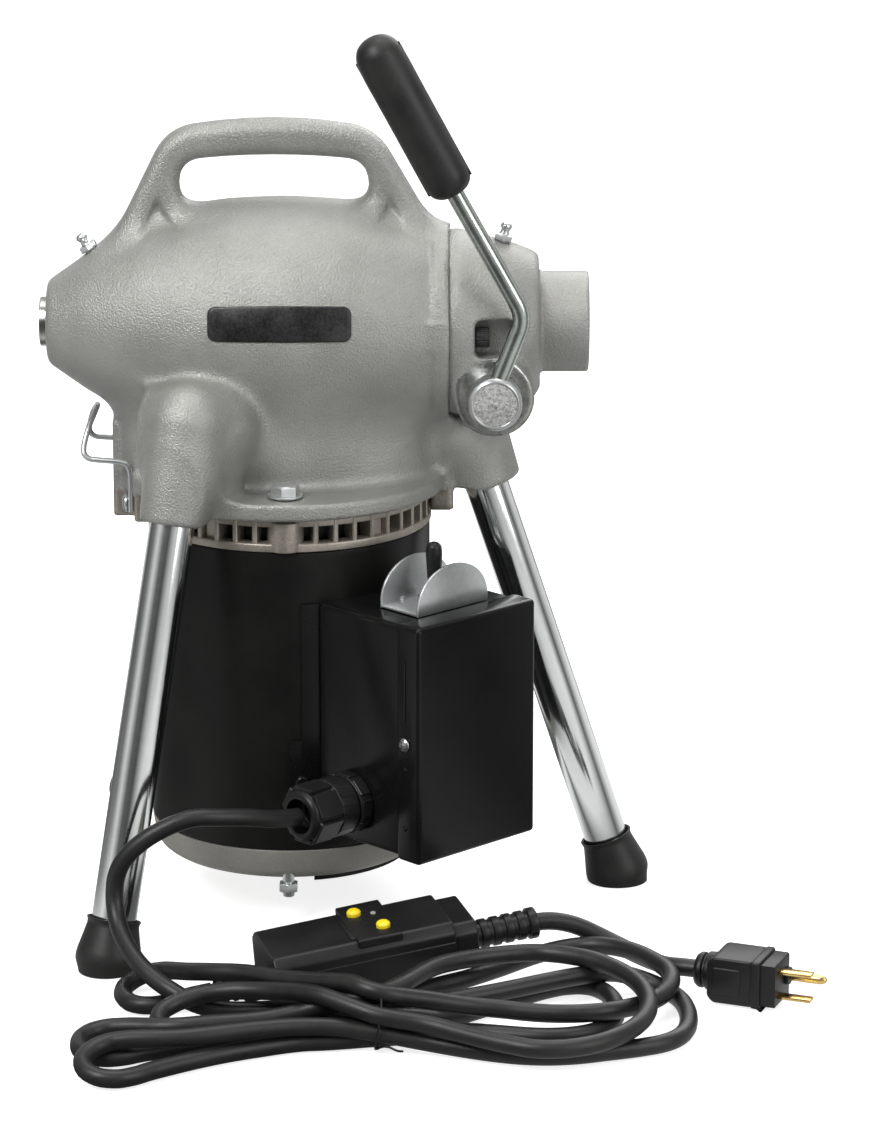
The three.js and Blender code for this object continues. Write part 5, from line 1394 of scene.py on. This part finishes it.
def add_interrupter():
    half_x, half_y, half_z = GFCI_LENGTH / 2, GFCI_WIDTH / 2, GFCI_HEIGHT / 2
    parts = [
        shifted(bevelled_section(half_y, half_z, 4.5, GFCI_LENGTH - 12), (-6, 0, 0)),
        shifted(bevelled_section(half_y - 1.6, half_z - 1.2, 4.5, GFCI_LENGTH - 4), (2, 0, -1.2)),
        shifted(bevelled_section(half_y + 0.35, half_z - 4.2, 1, GFCI_LENGTH - 13, 0.3), (-6, 0, -4)),
        rounded_box(-9, 13.5, -19.6, 20.4, half_z - 3, half_z + 1.6, 1, 3),
        rounded_box(-11.5, -8, -14, 14, half_z - 3, half_z + 0.9, 0.8, 2),
        rounded_box(-half_x - 14, -half_x + 1, -12, 14, -half_z + 2, -half_z + 5.5, 1.2, 2),
    ]
    left = softened([
        (-26, 4.9), (-26, 5.9, 0.5), (0, 6.6), (2, 6.6), (2, 4.9), (-26, 4.9)], 0.3)
    left_end, right_end = (-half_x, -3, -4.5), (half_x, -2, -5)
    parts.append(lathe(left, AXIS_X, left_end, 48))
    for x in (-23, -18, -13, -8):
        parts.append(lathe(ring_profile(x, x + 2.2, 5, 7.1), AXIS_X, left_end, 48))
    right = softened([(-4, 4.6), (-4, 6.4), (34.5, 6.4, 0.6), (34.5, 4.6), (-4, 4.6)], 0.3)
    parts.append(lathe(right, AXIS_X, right_end, 48))
    for x in (5, 11.4, 17.8, 24.2):
        parts.append(lathe(ring_profile(x, x + 4, 5, 7.3, 0.6), AXIS_X, right_end, 48))
    parts.append(lathe(ring_profile(30, 34.5, 5, 7.8, 0.8), AXIS_X, right_end, 48))
    case = mesh_piece("interrupter_case", *moved(joined(*parts), GFCI_FRAME), BLACK_PLASTIC)
    wells = [
        moved(rod((x, y, half_z - 2.5), (x, y, half_z + 5), 4, soft=0.01), GFCI_FRAME)
        for x, y in BUTTONS.values()]
    hole = moved(rod((-half_x - 8, 1, -20), (-half_x - 8, 1, -2), 2.4, soft=0.01), GFCI_FRAME)
    cut_with(case, *wells, hole)
    replacement(case, "black_plastic", "gfci_case")
    for name, (x, y) in BUTTONS.items():
        button = lathe(softened([
            (half_z - 1.2, 0), (half_z - 1.2, 3.5), (half_z + 3.0, 3.5, 0.6), (half_z + 4.0, 2.4, 0.8),
            (half_z + 4.3, 0)], 0.4, 4), AXIS_Z, (x, y, 0), 48)
        stand_in(f"{name}_cap", moved(button, GFCI_FRAME), YELLOW, "yellow_plastic", name, name)
    lamp = lathe(
        softened([(-1, 0), (-1, 1.5), (0.5, 1.5, 0.6), (1, 0)], 0.4), AXIS_Z, (6.5, 6.5, half_z + 1.6), 32)
    detail_piece("interrupter_lamp", moved(lamp, GFCI_FRAME), BELL)


def add_plug():
    def side_outline(x0, x1, half, chamfer):
        return softened([
            (x0 + 8, -half), (x1, -half, 1.4), (x1, half, 1.4), (x0 + chamfer, half, 1.6),
            (x0, half - chamfer, 1.6), (x0, -half + chamfer, 1.6), (x0 + chamfer, -half, 1.6),
            (x0 + 8, -half)], 1.4)[:-1]

    parts = [
        moved(plate(side_outline(9, 32, 11.6, 3), 25, 2.4, 4), UPRIGHT),
        moved(plate(side_outline(31, 36, 11.9, 1), 26, 1.4, 3), UPRIGHT),
        moved(plate(side_outline(35, 43.5, 10.5, 1), 23, 1.6, 3), UPRIGHT),
        lathe(softened([
            (0.3, 4.6), (0.3, 7.4, 0.6), (2.2, 8.8, 0.6), (4.2, 8.8, 0.5), (4.6, 7.6), (5.6, 7.6),
            (6, 9.4, 0.5), (12, 9.8), (12, 4.6), (0.3, 4.6)], 0.3), AXIS_X, (0, 0, 0), 64),
        rounded_box(12, 26, -13.2, 0, -7, 7, 1, 3),
        rod((43, GROUND_Y, 0), (45.5, GROUND_Y, 0), 4.4, soft=0.8),
    ]
    body = mesh_piece("plug_body", *moved(joined(*parts), PLUG_FRAME), BLACK_PLASTIC)
    replacement(body, "black_plastic", "plug")
    blades = [
        rounded_box(43, 60, BLADE_Y - 3.2, BLADE_Y + 3.2, z - 0.8, z + 0.8, 0.45, 2)
        for z in (-BLADE_Z, BLADE_Z)]
    pin = lathe(softened([
        (45, 0), (45, 2.4), (61, 2.4, 1), (63.4, 1.4, 1), (64, 0)], 0.5), AXIS_X, (0, GROUND_Y, 0), 48)
    metal = mesh_piece("plug_pins", *moved(joined(*blades, pin), PLUG_FRAME), BRASS)


def add_tie():
    """A thin wire round the bundle of cords, with one end running off near the floor."""
    reach = TIE_RING + CORD_RADIUS + 0.75
    ring = []
    for i in range(TIE_STEPS + 1):
        turn = math.radians(-70 + 360 * i / TIE_STEPS)
        lift = max(TIE_Z + reach * 0.98 * math.sin(turn), 0.8)
        ring.append((TIE_X + 1.5 * math.sin(2 * turn), TIE_Y - reach * math.cos(turn), lift))
    end = [(TIE_X + 2 + i * 1.6, TIE_Y - 12 - i * 0.9, 4.5 + 0.5 * math.sin(i)) for i in range(7)]
    wire = tube("tie_wire", even_path(smooth_path([*ring, *end], 6), 2.0), 0.55, BLACK_PLASTIC, "machine", 4)
    replacement(wire, "black_plastic", "cord_tie")


dress_nodes()
add_camera()
add_stage()
main_cord, tail_cord = add_cords()
add_castings()
add_spindle()
add_lever()
add_screws()
add_motor()
add_legs()
add_hose_clip()
add_switch_box()
add_switch()
add_gland()
add_interrupter()
add_plug()
add_tie()
